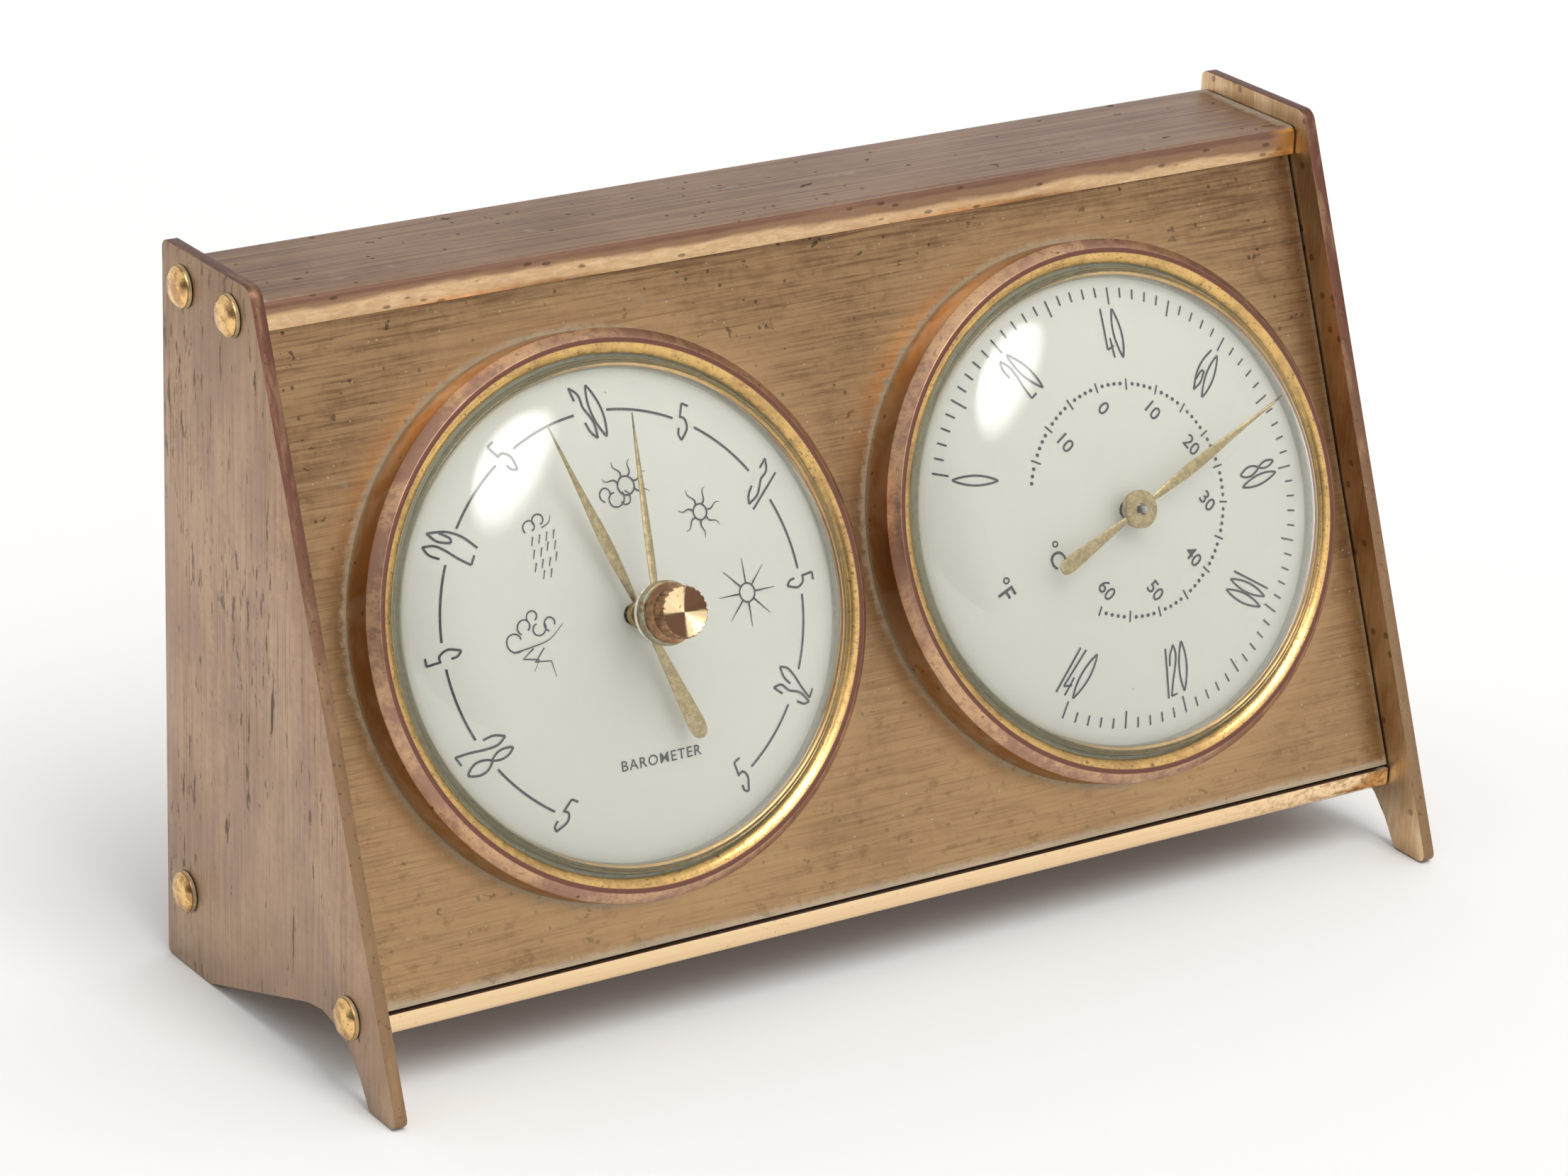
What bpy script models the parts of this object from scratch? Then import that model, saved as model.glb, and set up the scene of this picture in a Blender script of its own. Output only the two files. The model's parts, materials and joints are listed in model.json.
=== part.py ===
"""Desk weather station: a barometer and a thermometer side by side in a brass case.

Metres, +Z up, the dials face -Y, the foot of the cheeks stands on z = 0.
Each dial has its own slanted frame: x across, y up the slanted panel, z out of the panel.
"""
import math
import bpy
import bmesh
from mathutils import Matrix, Vector

MM = 0.001

# ---------------------------------------------------------------- case sizes
CASE_WIDTH = 185.0 * MM          # over the two cheeks
CASE_HEIGHT = 110.3 * MM
FOOT_DEPTH = 68.0 * MM           # cheek depth at the table
TOP_DEPTH = 25.7 * MM            # cheek depth at the top
CHEEK_THICK = 2.0 * MM
REAR_FOOT = 13.0 * MM            # length of the rear foot
FRONT_FOOT = 7.8 * MM            # length of the front foot
ARCH_REAR_SLOPE = math.radians(17.7)
ARCH_FRONT_SLOPE = math.radians(56.0)
ARCH_RADIUS = 13.3 * MM

CORNER_FOOT = 1.2 * MM
CORNER_BROW = 2.2 * MM

SHEET = 1.0 * MM                 # folded case sheet
GAP = 0.3 * MM                   # clearance between parts that sit on each other
TOP_SINK = 2.8 * MM              # case top below the cheek tops
CASE_BOTTOM = 9.3 * MM
TOP_LIP = 4.3 * MM               # height of the upper front lip
BOTTOM_LIP = 3.3 * MM
BEND = 1.3 * MM                  # outer radius of the folds
PANEL_SETBACK = 5.3 * MM         # panel face behind the cheek front edge
PANEL_THICK = 1.2 * MM
LIP_STEP = 1.5 * MM              # upper lip stands this far in front of the panel
PANEL_TUCK = 0.5 * MM            # panel edge past the lip edge
ADJUST_HOLE = 3.6 * MM
VENTS = 7
VENT_PITCH = 7.0 * MM

ROD_RADIUS = 1.4 * MM
STUD_RADIUS = 0.8 * MM
ROD_REAR = 6.1 * MM              # rear rods, from the rear edge
ROD_TOP_BACK = 4.0 * MM          # upper front rod behind the upper lip
ROD_LOW_BACK = 3.3 * MM          # lower front rod behind the lower lip
NUT_RADIUS = 3.0 * MM
NUT_RIM = 3.2 * MM
NUT_HEIGHT = 1.5 * MM
NUT_GAP = 0.1 * MM

# ---------------------------------------------------------------- dial sizes
MIDDLE_GAP = 2.6 * MM            # bezel to the middle of the case
SIDE_GAP = 6.1 * MM              # bezel to the cheek
EDGE_GAP = 3.0 * MM              # least room between bezel and panel edge
DIAL_DROP = 0.7 * MM             # dial axes below the middle of the panel
BEZEL_RADIUS = 40.9 * MM
BEZEL_SKIRT = 5.9 * MM           # height of the straight skirt
BEZEL_HEIGHT = 7.5 * MM
BEZEL_LAND_OUT = BEZEL_RADIUS - 1.5 * MM
BEZEL_LAND_IN = BEZEL_RADIUS - 2.15 * MM
BEZEL_LIP = BEZEL_RADIUS - 3.7 * MM
GLASS_RADIUS = BEZEL_LIP - 0.4 * MM
GLASS_THICK = 1.2 * MM
GLASS_BASE = 6.3 * MM            # height where the dome starts
GLASS_TOP = 17.4 * MM
DIAL_RADIUS = GLASS_RADIUS - GLASS_THICK - GAP
DIAL_TOP = 8.4 * MM              # the dial is slightly domed
DIAL_EDGE = 5.0 * MM
DIAL_THICK = 0.5 * MM
DIAL_HOLE = 1.5 * MM
CAN_RADIUS = BEZEL_RADIUS - 4.6 * MM
CAN_WALL = 0.8 * MM
CAN_BACK = -21.0 * MM
CAN_FLANGE = BEZEL_RADIUS - 1.4 * MM
SCREW_BACK = CAN_BACK - 1.6 * MM
ARBOR_RADIUS = 0.6 * MM

PRESSURE_ANGLE = -19.0           # degrees clockwise from the top of the dial: 29.68 inHg
SET_ANGLE = 7.1
TEMPERATURE_ANGLE = 67.0         # 69 degrees Fahrenheit

KNOB_RADIUS = 3.75 * MM
KNOB_COLLAR = 4.25 * MM
KNOB_BASE = 19.5 * MM
KNOB_FACE = 23.4 * MM
KNOB_FLUTES = 22
BUSH_RADIUS = 4.6 * MM
SHAFT_RADIUS = 1.0 * MM

MODULE = 0.5 * MM
PINION_TEETH = 8
SECTOR_TEETH = 60
MESH_GAP = 0.3 * MM
CENTRES = MODULE * (PINION_TEETH + SECTOR_TEETH) / 2 + MESH_GAP
TAIL_REACH = 6.0 * MM            # rocking shaft beyond the sector's staff
ROCKER_POST = 3.4 * MM           # outer face of the rocker's posts from its middle

CAPSULE_RADIUS = 17.5 * MM
PLATE = 1.0 * MM
BASE_H = -19.6 * MM
ROCKER_H = -13.0 * MM
ROCKER_ARM = 9.0 * MM
BASE_RADIUS = max(CAN_RADIUS - 6.3 * MM, CENTRES + TAIL_REACH + ROCKER_POST + 0.8 * MM)
ADJUST_X = 5.0 * MM - BASE_RADIUS    # adjusting screw, left of the barometer axis

# ---------------------------------------------------------------- clean file
for old in list(bpy.data.objects):
    bpy.data.objects.remove(old, do_unlink=True)
cutters = bpy.data.collections.new("cutters")
bpy.context.scene.collection.children.link(cutters)

# ---------------------------------------------------------------- frames
front_lean = math.atan2(CASE_HEIGHT, FOOT_DEPTH - TOP_DEPTH)
tip_loss = CORNER_FOOT * (1 / math.tan(front_lean / 2) - 1)   # rounding shortens the front foot
REAR = (FOOT_DEPTH - tip_loss) / 2


def world_y(depth):
    """Depth forward of the rear edge to a world Y."""
    return REAR - depth


foot = Vector((0, world_y(FOOT_DEPTH), 0))
brow = Vector((0, world_y(TOP_DEPTH), CASE_HEIGHT))
up_slope = (brow - foot).normalized()
outward = Vector((1, 0, 0)).cross(up_slope)
case_top = CASE_HEIGHT - TOP_SINK
outer_x = CASE_WIDTH / 2
inner_x = outer_x - CHEEK_THICK


def panel_depth(z):
    """Depth of the panel face, forward of the rear edge, at height z."""
    return FOOT_DEPTH - z / math.tan(front_lean) - PANEL_SETBACK / math.sin(front_lean)


def panel_rise(z):
    """Distance up the slope, from level with the front foot, of the panel face at height z."""
    return (z + PANEL_SETBACK * outward.z) / up_slope.z


panel_low_z = CASE_BOTTOM + BOTTOM_LIP + PANEL_TUCK
panel_top_z = case_top - TOP_LIP + PANEL_TUCK
dial_rise = (panel_rise(panel_low_z) + panel_rise(panel_top_z)) / 2 - DIAL_DROP

# The dial units are drawn at their own size and shrink or grow to fit the case.
room_across = (inner_x - SIDE_GAP - MIDDLE_GAP) / 2 / BEZEL_RADIUS
room_up = (dial_rise - panel_rise(panel_low_z) - EDGE_GAP) / BEZEL_RADIUS
can_top = panel_depth((dial_rise + CAN_RADIUS) * up_slope.z) - 2 * SHEET
room_deep = can_top / (-SCREW_BACK * math.sin(front_lean))
unit_size = min(room_across, room_up, room_deep)
dial_spread = MIDDLE_GAP + room_across * BEZEL_RADIUS


def dial_frame(side, size):
    origin = foot + up_slope * dial_rise - outward * PANEL_SETBACK
    frame = Matrix((Vector((1, 0, 0)), up_slope, outward)).transposed().to_4x4()
    frame.translation = origin + Vector((side * dial_spread, 0, 0))
    return frame @ Matrix.Scale(size, 4)


PRESSURE = dial_frame(-1, unit_size)
TEMPERATURE = dial_frame(1, unit_size)


# ---------------------------------------------------------------- builders
def material(name, colour, metallic, roughness):
    mat = bpy.data.materials.new(name)
    mat.use_nodes = True
    shader = mat.node_tree.nodes["Principled BSDF"]
    shader.inputs["Base Color"].default_value = (*colour, 1)
    shader.inputs["Metallic"].default_value = metallic
    shader.inputs["Roughness"].default_value = roughness
    return mat


BRASS = (0.55, 0.38, 0.18)
COPPER = (0.42, 0.22, 0.13)
STEEL = (0.45, 0.45, 0.47)
PAPER = (0.85, 0.83, 0.74)


def place(name, bm, frame=None, colour=BRASS, metallic=1.0, roughness=0.35):
    bmesh.ops.remove_doubles(bm, verts=bm.verts, dist=1e-7)
    bmesh.ops.recalc_face_normals(bm, faces=bm.faces)
    mesh = bpy.data.meshes.new(name)
    bm.to_mesh(mesh)
    bm.free()
    obj = bpy.data.objects.new(name, mesh)
    obj.data.materials.append(material(name, colour, metallic, roughness))
    home = bpy.data.collections.new(name)
    bpy.context.scene.collection.children.link(home)
    home.objects.link(obj)
    if frame is not None:
        obj.matrix_world = frame
    return obj


def revolve(profile, steps=64):
    """Spin a closed (radius, height) outline about the local z axis."""
    bm = bmesh.new()
    verts = [bm.verts.new((r, 0, h)) for r, h in profile]
    edges = [bm.edges.new((verts[i], verts[(i + 1) % len(verts)])) for i in range(len(verts))]
    edges = [e for e in edges if max(abs(v.co.x) for v in e.verts) > 1e-9]
    bmesh.ops.spin(bm, geom=edges + verts, cent=(0, 0, 0), axis=(0, 0, 1),
                   angle=2 * math.pi, steps=steps, use_merge=True)
    bmesh.ops.remove_doubles(bm, verts=bm.verts, dist=1e-7)
    bmesh.ops.dissolve_degenerate(bm, edges=bm.edges, dist=1e-8)
    return bm


def prism(outline, low, high, turn=None):
    """Extrude a closed outline from low to high along local z, then turn it."""
    bm = bmesh.new()
    face = bm.faces.new([bm.verts.new((x, y, low)) for x, y in outline])
    made = bmesh.ops.extrude_face_region(bm, geom=[face])
    moved = [g for g in made["geom"] if isinstance(g, bmesh.types.BMVert)]
    bmesh.ops.translate(bm, verts=moved, vec=(0, 0, high - low))
    if turn is not None:
        bmesh.ops.transform(bm, matrix=turn, verts=bm.verts)
    return bm


def rounded(points):
    """Corner list (x, y, radius) to an outline with arcs at the corners."""
    out = []
    n = len(points)
    for i in range(n):
        here = Vector(points[i][:2])
        before = (Vector(points[i - 1][:2]) - here).normalized()
        after = (Vector(points[(i + 1) % n][:2]) - here).normalized()
        radius = points[i][2]
        if radius <= 0:
            out.append(tuple(here))
            continue
        half = before.angle(after) / 2
        reach = radius / math.tan(half)
        centre = here + (before + after).normalized() * radius / math.sin(half)
        first = here + before * reach - centre
        last = here + after * reach - centre
        sweep = first.angle_signed(last)
        steps = max(2, int(abs(sweep) / 0.3))
        for k in range(steps + 1):
            spun = first.copy()
            spun.rotate(Matrix.Rotation(-sweep * k / steps, 2))
            out.append(tuple(centre + spun))
    return out


def box_bm(lo, hi):
    return prism([(lo[0], lo[1]), (hi[0], lo[1]), (hi[0], hi[1]), (lo[0], hi[1])], lo[2], hi[2])


def rod_bm(radius, low, high, at=(0, 0), steps=16):
    bm = revolve([(0, low), (radius, low), (radius, high), (0, high)], steps)
    bmesh.ops.translate(bm, verts=bm.verts, vec=(at[0], at[1], 0))
    return bm


def helper(name, bm, frame=None):
    """A cutting or adding body: kept out of the render, in its own collection."""
    bmesh.ops.remove_doubles(bm, verts=bm.verts, dist=1e-7)
    bmesh.ops.recalc_face_normals(bm, faces=bm.faces)
    mesh = bpy.data.meshes.new(name)
    bm.to_mesh(mesh)
    bm.free()
    obj = bpy.data.objects.new(name, mesh)
    cutters.objects.link(obj)
    obj.hide_render = True
    obj.display_type = "WIRE"
    if frame is not None:
        obj.matrix_world = frame
    return obj


def combine(obj, tool, how="DIFFERENCE"):
    mod = obj.modifiers.new(tool.name, "BOOLEAN")
    mod.operation = how
    mod.solver = "EXACT"
    mod.object = tool


def cut(obj, name, bm, frame=None):
    combine(obj, helper(name, bm, frame))


def add(obj, name, bm, frame=None):
    combine(obj, helper(name, bm, frame), "UNION")


ACROSS = Matrix(((0, 0, 1, 0), (1, 0, 0, 0), (0, 1, 0, 0), (0, 0, 0, 1)))  # z -> x, x -> y, y -> z


def turned(angle):
    """Clockwise turn, seen from the front of a dial, in degrees."""
    return Matrix.Rotation(-math.radians(angle), 4, "Z")


# ---------------------------------------------------------------- cheeks
arch_front_y = FOOT_DEPTH - FRONT_FOOT
arch_span = arch_front_y - REAR_FOOT
tan_rear, tan_front = math.tan(ARCH_REAR_SLOPE), math.tan(ARCH_FRONT_SLOPE)
arch_reach = arch_span * tan_front / (tan_rear + tan_front)
arch_peak = (world_y(REAR_FOOT + arch_reach), arch_reach * tan_rear)
cheek_outline = rounded([
    (world_y(0), 0, 0.8 * MM),
    (world_y(0), CASE_HEIGHT, 1.2 * MM),
    (world_y(TOP_DEPTH), CASE_HEIGHT, CORNER_BROW),
    (world_y(FOOT_DEPTH), 0, CORNER_FOOT),
    (world_y(arch_front_y), 0, 0),
    (arch_peak[0], arch_peak[1], ARCH_RADIUS),
    (world_y(REAR_FOOT), 0, 0)])
top_lip_depth = panel_depth(case_top - TOP_LIP) + LIP_STEP
low_lip_depth = panel_depth(CASE_BOTTOM + BOTTOM_LIP) + 0.2 * MM
rod_top_z = case_top - SHEET - ROD_RADIUS - 0.2 * MM
rod_low_z = CASE_BOTTOM + SHEET + ROD_RADIUS + GAP
ROD_PLACES = {"top_rear": (world_y(ROD_REAR), rod_top_z),
              "top_front": (world_y(top_lip_depth - ROD_TOP_BACK), rod_top_z),
              "low_rear": (world_y(ROD_REAR), rod_low_z),
              "low_front": (world_y(low_lip_depth - ROD_LOW_BACK), rod_low_z)}
for side, label in ((-1, "left"), (1, "right")):
    low, high = sorted((side * inner_x, side * outer_x))
    cheek = place(f"{label}_cheek", prism(cheek_outline, low, high, ACROSS), roughness=0.4)
    for name, (y, z) in ROD_PLACES.items():
        cut(cheek, f"{label}_{name}_hole",
            prism([(y + (STUD_RADIUS + GAP) * math.cos(a * math.pi / 12),
                    z + (STUD_RADIUS + GAP) * math.sin(a * math.pi / 12)) for a in range(24)],
                  low - MM, high + MM, ACROSS))

# ---------------------------------------------------------------- tie rods and cap nuts
stud_end = outer_x + NUT_GAP + 0.8 * MM
rod_end = inner_x - GAP
for name, (y, z) in ROD_PLACES.items():
    profile = [(0, -stud_end), (STUD_RADIUS, -stud_end), (STUD_RADIUS, -rod_end),
               (ROD_RADIUS, -rod_end), (ROD_RADIUS, rod_end), (STUD_RADIUS, rod_end),
               (STUD_RADIUS, stud_end), (0, stud_end)]
    bm = revolve(profile, 12)
    bmesh.ops.transform(bm, matrix=ACROSS, verts=bm.verts)
    bmesh.ops.translate(bm, verts=bm.verts, vec=(0, y, z))
    place(f"tie_rod_{name}", bm, colour=STEEL)
    for side, label in ((-1, "left"), (1, "right")):
        bore = STUD_RADIUS + GAP
        bore_deep = 0.8 * MM + GAP
        nut = revolve([(bore, 0), (NUT_RIM, 0), (NUT_RIM, 0.25 * MM), (NUT_RADIUS, 0.4 * MM),
                       (NUT_RADIUS, 0.7 * MM), (NUT_RADIUS - 0.8 * MM, NUT_HEIGHT - 0.2 * MM), (0, NUT_HEIGHT),
                       (0, bore_deep), (bore, bore_deep)], 20)
        face = Matrix.Translation((side * (outer_x + NUT_GAP), y, z))
        turn = face @ (ACROSS if side > 0 else Matrix.Rotation(math.pi, 4, "Z") @ ACROSS)
        bmesh.ops.transform(nut, matrix=turn, verts=nut.verts)
        place(f"cap_nut_{name}_{label}", nut, roughness=0.2)

# ---------------------------------------------------------------- folded case sheet
panel_mid = PRESSURE.translation
wrap_half = inner_x - GAP
rear_face = world_y(0.4 * MM)
top_front = world_y(top_lip_depth)
low_front = world_y(low_lip_depth)
outside = [(top_front, case_top - TOP_LIP, 0), (top_front, case_top, BEND),
           (rear_face, case_top, BEND), (rear_face, CASE_BOTTOM, BEND),
           (low_front, CASE_BOTTOM, BEND), (low_front, CASE_BOTTOM + BOTTOM_LIP, 0)]
inside = [(low_front + SHEET, CASE_BOTTOM + BOTTOM_LIP, 0), (low_front + SHEET, CASE_BOTTOM + SHEET, BEND - SHEET),
          (rear_face - SHEET, CASE_BOTTOM + SHEET, BEND - SHEET), (rear_face - SHEET, case_top - SHEET, BEND - SHEET),
          (top_front + SHEET, case_top - SHEET, BEND - SHEET), (top_front + SHEET, case_top - TOP_LIP, 0)]
wrap = place("case_wrap", prism(rounded(outside + inside), -wrap_half, wrap_half, ACROSS))

screw_line = PRESSURE @ Matrix.Translation((ADJUST_X, 0, 0))
hole_deep = (panel_depth(panel_mid.z) / math.sin(front_lean)) / unit_size
cut(wrap, "adjust_access", rod_bm(ADJUST_HOLE, -hole_deep - 8 * MM, -hole_deep + 8 * MM, steps=24), screw_line)
for k in range(VENTS):
    x = dial_spread + (k - (VENTS - 1) / 2) * VENT_PITCH
    slot = rounded([(x - 1.25 * MM, -10 * MM, 1.2 * MM), (x + 1.25 * MM, -10 * MM, 1.2 * MM),
                    (x + 1.25 * MM, 10 * MM, 1.2 * MM), (x - 1.25 * MM, 10 * MM, 1.2 * MM)])
    bm = prism(slot, -3 * MM, 3 * MM, Matrix.Translation((0, rear_face, CASE_HEIGHT / 2))
               @ Matrix.Rotation(math.pi / 2, 4, "X"))
    cut(wrap, f"vent_{k}", bm)

# ---------------------------------------------------------------- slanted front panel
y_low = panel_rise(panel_low_z) - dial_rise
y_top = panel_rise(panel_top_z) - dial_rise
panel_frame = dial_frame(0, 1)
panel = place("front_panel", box_bm((-wrap_half, y_low, -PANEL_THICK), (wrap_half, y_top, 0)), panel_frame)
for side, label in ((-1, "left"), (1, "right")):
    cut(panel, f"panel_{label}_hole", rod_bm((CAN_RADIUS + GAP) * unit_size, -5 * MM, 5 * MM, (side * dial_spread, 0), 48),
        panel_frame)


# ---------------------------------------------------------------- bezel, glass, dial, can
def dome(radius, base, top, steps, edge=0.999):
    """Points of a quarter ellipse from the middle of the dome out to its edge."""
    return [(radius * math.sin(edge * math.pi / 2 * k / steps),
             base + (top - base) * math.cos(edge * math.pi / 2 * k / steps)) for k in range(steps + 1)]


def cap(radius, top, edge, drop, steps, start=0.0):
    """Spherical cap points from the middle (or a hole) to the edge, lowered by drop."""
    ball = (radius ** 2 + (top - edge) ** 2) / (2 * (top - edge))
    out = []
    for k in range(steps + 1):
        r = start + (radius - start) * k / steps
        out.append((r, top - ball + math.sqrt(ball ** 2 - r ** 2) - drop))
    return out


SEAT = 5.0 * MM                  # underside of the glass rim
RIM = 0.9 * MM                   # thickness of the glass rim
for frame, label in ((PRESSURE, "barometer"), (TEMPERATURE, "thermometer")):
    lip_under = SEAT + RIM + GAP
    wall = BEZEL_RADIUS - 2.0 * MM
    place(f"{label}_bezel", revolve([
        (BEZEL_RADIUS, 0.1 * MM), (BEZEL_RADIUS, BEZEL_SKIRT), (BEZEL_LAND_OUT, BEZEL_HEIGHT),
        (BEZEL_LAND_IN, BEZEL_HEIGHT), (BEZEL_LAND_IN - 0.6 * MM, BEZEL_HEIGHT - 0.2 * MM),
        (BEZEL_LIP + 0.35 * MM, BEZEL_HEIGHT - 0.6 * MM), (BEZEL_LIP, BEZEL_HEIGHT - 1.0 * MM),
        (BEZEL_LIP, lip_under), (wall, lip_under), (wall, 1.5 * MM),
        (CAN_FLANGE + GAP, 1.4 * MM), (CAN_FLANGE + GAP, 0.1 * MM)], 48), frame, roughness=0.2)
    hole = (SHAFT_RADIUS + 1.6 * MM) if label == "barometer" else 0.0
    shell = [p for p in dome(GLASS_RADIUS, GLASS_BASE, GLASS_TOP, 8) if p[0] > hole + MM or hole == 0]
    under = [p for p in dome(GLASS_RADIUS - GLASS_THICK, GLASS_BASE, GLASS_TOP - GLASS_THICK, 8)
             if p[0] > hole + MM or hole == 0]
    if hole:
        shell.insert(0, (hole, GLASS_TOP))
        under.insert(0, (hole, GLASS_TOP - GLASS_THICK))
    rim = wall - 0.4 * MM
    place(f"{label}_crystal", revolve(
        shell + [(GLASS_RADIUS, SEAT + RIM), (rim, SEAT + RIM), (rim, SEAT),
                 (GLASS_RADIUS - GLASS_THICK, SEAT)] + under[::-1], 44),
        frame, (0.8, 0.85, 0.85), 0.0, 0.05)
    face = cap(DIAL_RADIUS, DIAL_TOP, DIAL_EDGE, 0, 4, DIAL_HOLE)
    back = cap(DIAL_RADIUS, DIAL_TOP, DIAL_EDGE, DIAL_THICK, 4, DIAL_HOLE)
    place(f"{label}_dial", revolve(face + back[::-1], 44), frame, PAPER, 0.0, 0.5)
    ledge_top = DIAL_EDGE - DIAL_THICK - GAP
    can_in = CAN_RADIUS - CAN_WALL
    can = place(f"{label}_can", revolve([
        (0, CAN_BACK), (CAN_RADIUS, CAN_BACK), (CAN_RADIUS, GAP), (CAN_FLANGE, GAP),
        (CAN_FLANGE, GAP + CAN_WALL), (CAN_RADIUS, GAP + CAN_WALL), (CAN_RADIUS, ledge_top),
        (can_in - 1.2 * MM, ledge_top), (can_in - 1.2 * MM, ledge_top - CAN_WALL),
        (can_in, ledge_top - CAN_WALL), (can_in, CAN_BACK + CAN_WALL), (0, CAN_BACK + CAN_WALL)], 44),
        frame, STEEL, 1.0, 0.4)
    if label == "barometer":
        cut(can, "can_adjust_hole", rod_bm(2.2 * MM, CAN_BACK - MM, CAN_BACK + 2 * MM, (ADJUST_X, 0)), frame)
    else:
        for k in range(8):
            a = k * math.pi / 4
            cut(can, f"can_air_{k}", rod_bm(2.5 * MM, CAN_BACK - MM, CAN_BACK + 2 * MM,
                                            (22 * MM * math.cos(a), 22 * MM * math.sin(a))), frame)

# ---------------------------------------------------------------- setting knob, its bush and hand
bush_top = KNOB_BASE - GAP
place("knob_bush", revolve([
    (SHAFT_RADIUS + GAP, GLASS_TOP - GLASS_THICK - 0.3 * MM), (SHAFT_RADIUS + 1.3 * MM, GLASS_TOP - GLASS_THICK - 0.3 * MM),
    (SHAFT_RADIUS + 1.3 * MM, GLASS_TOP + 0.2 * MM), (BUSH_RADIUS, GLASS_TOP + 0.2 * MM),
    (BUSH_RADIUS, bush_top - 0.3 * MM), (BUSH_RADIUS - 0.3 * MM, bush_top), (SHAFT_RADIUS + GAP, bush_top)], 32),
    PRESSURE, (0.4, 0.4, 0.3), 0.6, 0.6)
knob_low = GLASS_TOP - 3.2 * MM
knob = place("setting_knob", revolve([
    (0, knob_low), (SHAFT_RADIUS, knob_low), (SHAFT_RADIUS, KNOB_BASE), (KNOB_COLLAR, KNOB_BASE),
    (KNOB_COLLAR, KNOB_BASE + 0.4 * MM), (KNOB_RADIUS - 0.1 * MM, KNOB_BASE + 1.3 * MM),
    (KNOB_RADIUS, KNOB_BASE + 1.4 * MM), (KNOB_RADIUS, KNOB_FACE - 0.15 * MM),
    (KNOB_RADIUS - 0.15 * MM, KNOB_FACE), (0, KNOB_FACE - 0.2 * MM)], 48), PRESSURE, roughness=0.25)
for k in range(KNOB_FLUTES):
    a = 2 * math.pi * k / KNOB_FLUTES
    reach = KNOB_RADIUS + 0.12 * MM
    cut(knob, f"flute_{k}", rod_bm(0.35 * MM, KNOB_BASE + 1.5 * MM, KNOB_FACE + MM,
                                   (reach * math.cos(a), reach * math.sin(a)), 6), PRESSURE)


def blade(points, low, high):
    """Flat hand outline, symmetric about its length: (reach, half width) pairs."""
    right = [(w, r) for r, w in points if w > 0]
    left = [(-w, r) for r, w in reversed(points) if w > 0]
    return prism(right + left, low, high)


SET_HUB = 15.2 * MM
set_hand = place("setting_hand", revolve([
    (SHAFT_RADIUS + GAP, SET_HUB - 0.5 * MM), (2.4 * MM, SET_HUB - 0.5 * MM),
    (2.4 * MM, SET_HUB + 0.3 * MM), (SHAFT_RADIUS + GAP, SET_HUB + 0.3 * MM)], 32),
    PRESSURE @ turned(SET_ANGLE), roughness=0.25)
SET_REACH = DIAL_RADIUS - 6.8 * MM
SET_DROP = 3.55 * MM
tilt = Matrix.Translation((0, 1.9 * MM, SET_HUB)) @ Matrix.Rotation(
    -math.atan2(SET_DROP, SET_REACH - 1.9 * MM), 4, "X")
vane = blade([(0, 0.5 * MM), (0.55 * (SET_REACH - 1.9 * MM), 0.42 * MM), (SET_REACH - 1.9 * MM, 0.1 * MM)],
             -0.13 * MM, 0.12 * MM)
bmesh.ops.transform(vane, matrix=tilt, verts=vane.verts)
add(set_hand, "setting_vane", vane, PRESSURE @ turned(SET_ANGLE))

# ---------------------------------------------------------------- pressure hand and arbor
HAND_H = 10.95 * MM
hand = place("pressure_hand", revolve([
    (ARBOR_RADIUS + GAP, HAND_H - 0.9 * MM), (2.0 * MM, HAND_H - 0.9 * MM),
    (2.0 * MM, HAND_H + 0.3 * MM), (ARBOR_RADIUS + GAP, HAND_H + 0.3 * MM)], 32),
    PRESSURE @ turned(PRESSURE_ANGLE))
PRESSURE_REACH = DIAL_RADIUS - 5.2 * MM
PRESSURE_TAIL = 19.9 * MM
tail_shape = [(-PRESSURE_TAIL, 0.55 * MM), (-PRESSURE_TAIL + 0.5 * MM, 1.05 * MM),
              (-PRESSURE_TAIL + 1.3 * MM, 1.35 * MM), (-PRESSURE_TAIL + 3.0 * MM, 1.3 * MM), (-2 * MM, 0.45 * MM)]
add(hand, "pressure_tail", blade(tail_shape + [(-1.5 * MM, 0.45 * MM)], HAND_H - 0.15 * MM, HAND_H + 0.15 * MM),
    PRESSURE @ turned(PRESSURE_ANGLE))
add(hand, "pressure_point", blade([(1.5 * MM, 0.4 * MM), (7 * MM, 0.75 * MM), (12 * MM, 0.85 * MM),
                                   (16 * MM, 0.8 * MM), (PRESSURE_REACH, 0.12 * MM)],
                                  HAND_H - 0.15 * MM, HAND_H + 0.15 * MM),
    PRESSURE @ turned(PRESSURE_ANGLE))


def gear_outline(teeth, module, first, last):
    """Straight-sided teeth from tooth `first` to `last`; a full wheel when last is None."""
    pitch = teeth * module / 2
    tip, root = pitch + 0.8 * module, pitch - 1.0 * module
    out = []
    whole = last is None
    for k in range(0 if whole else first, teeth if whole else last):
        a = 2 * math.pi * k / teeth
        step = 2 * math.pi / teeth
        for offset, r in ((-0.30, root), (-0.12, tip), (0.12, tip), (0.30, root)):
            out.append((r * math.cos(a + offset * step), r * math.sin(a + offset * step)))
    return out


arbor = place("pointer_arbor", rod_bm(ARBOR_RADIUS, -9.4 * MM, HAND_H + 0.9 * MM, steps=16),
              PRESSURE, STEEL)
pinion_low, pinion_high = -4.8 * MM, -3.0 * MM
half_tooth = Matrix.Rotation(math.pi / PINION_TEETH, 4, "Z")
add(arbor, "pinion", prism(gear_outline(PINION_TEETH, MODULE, 0, None), pinion_low, pinion_high, half_tooth),
    PRESSURE)

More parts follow.
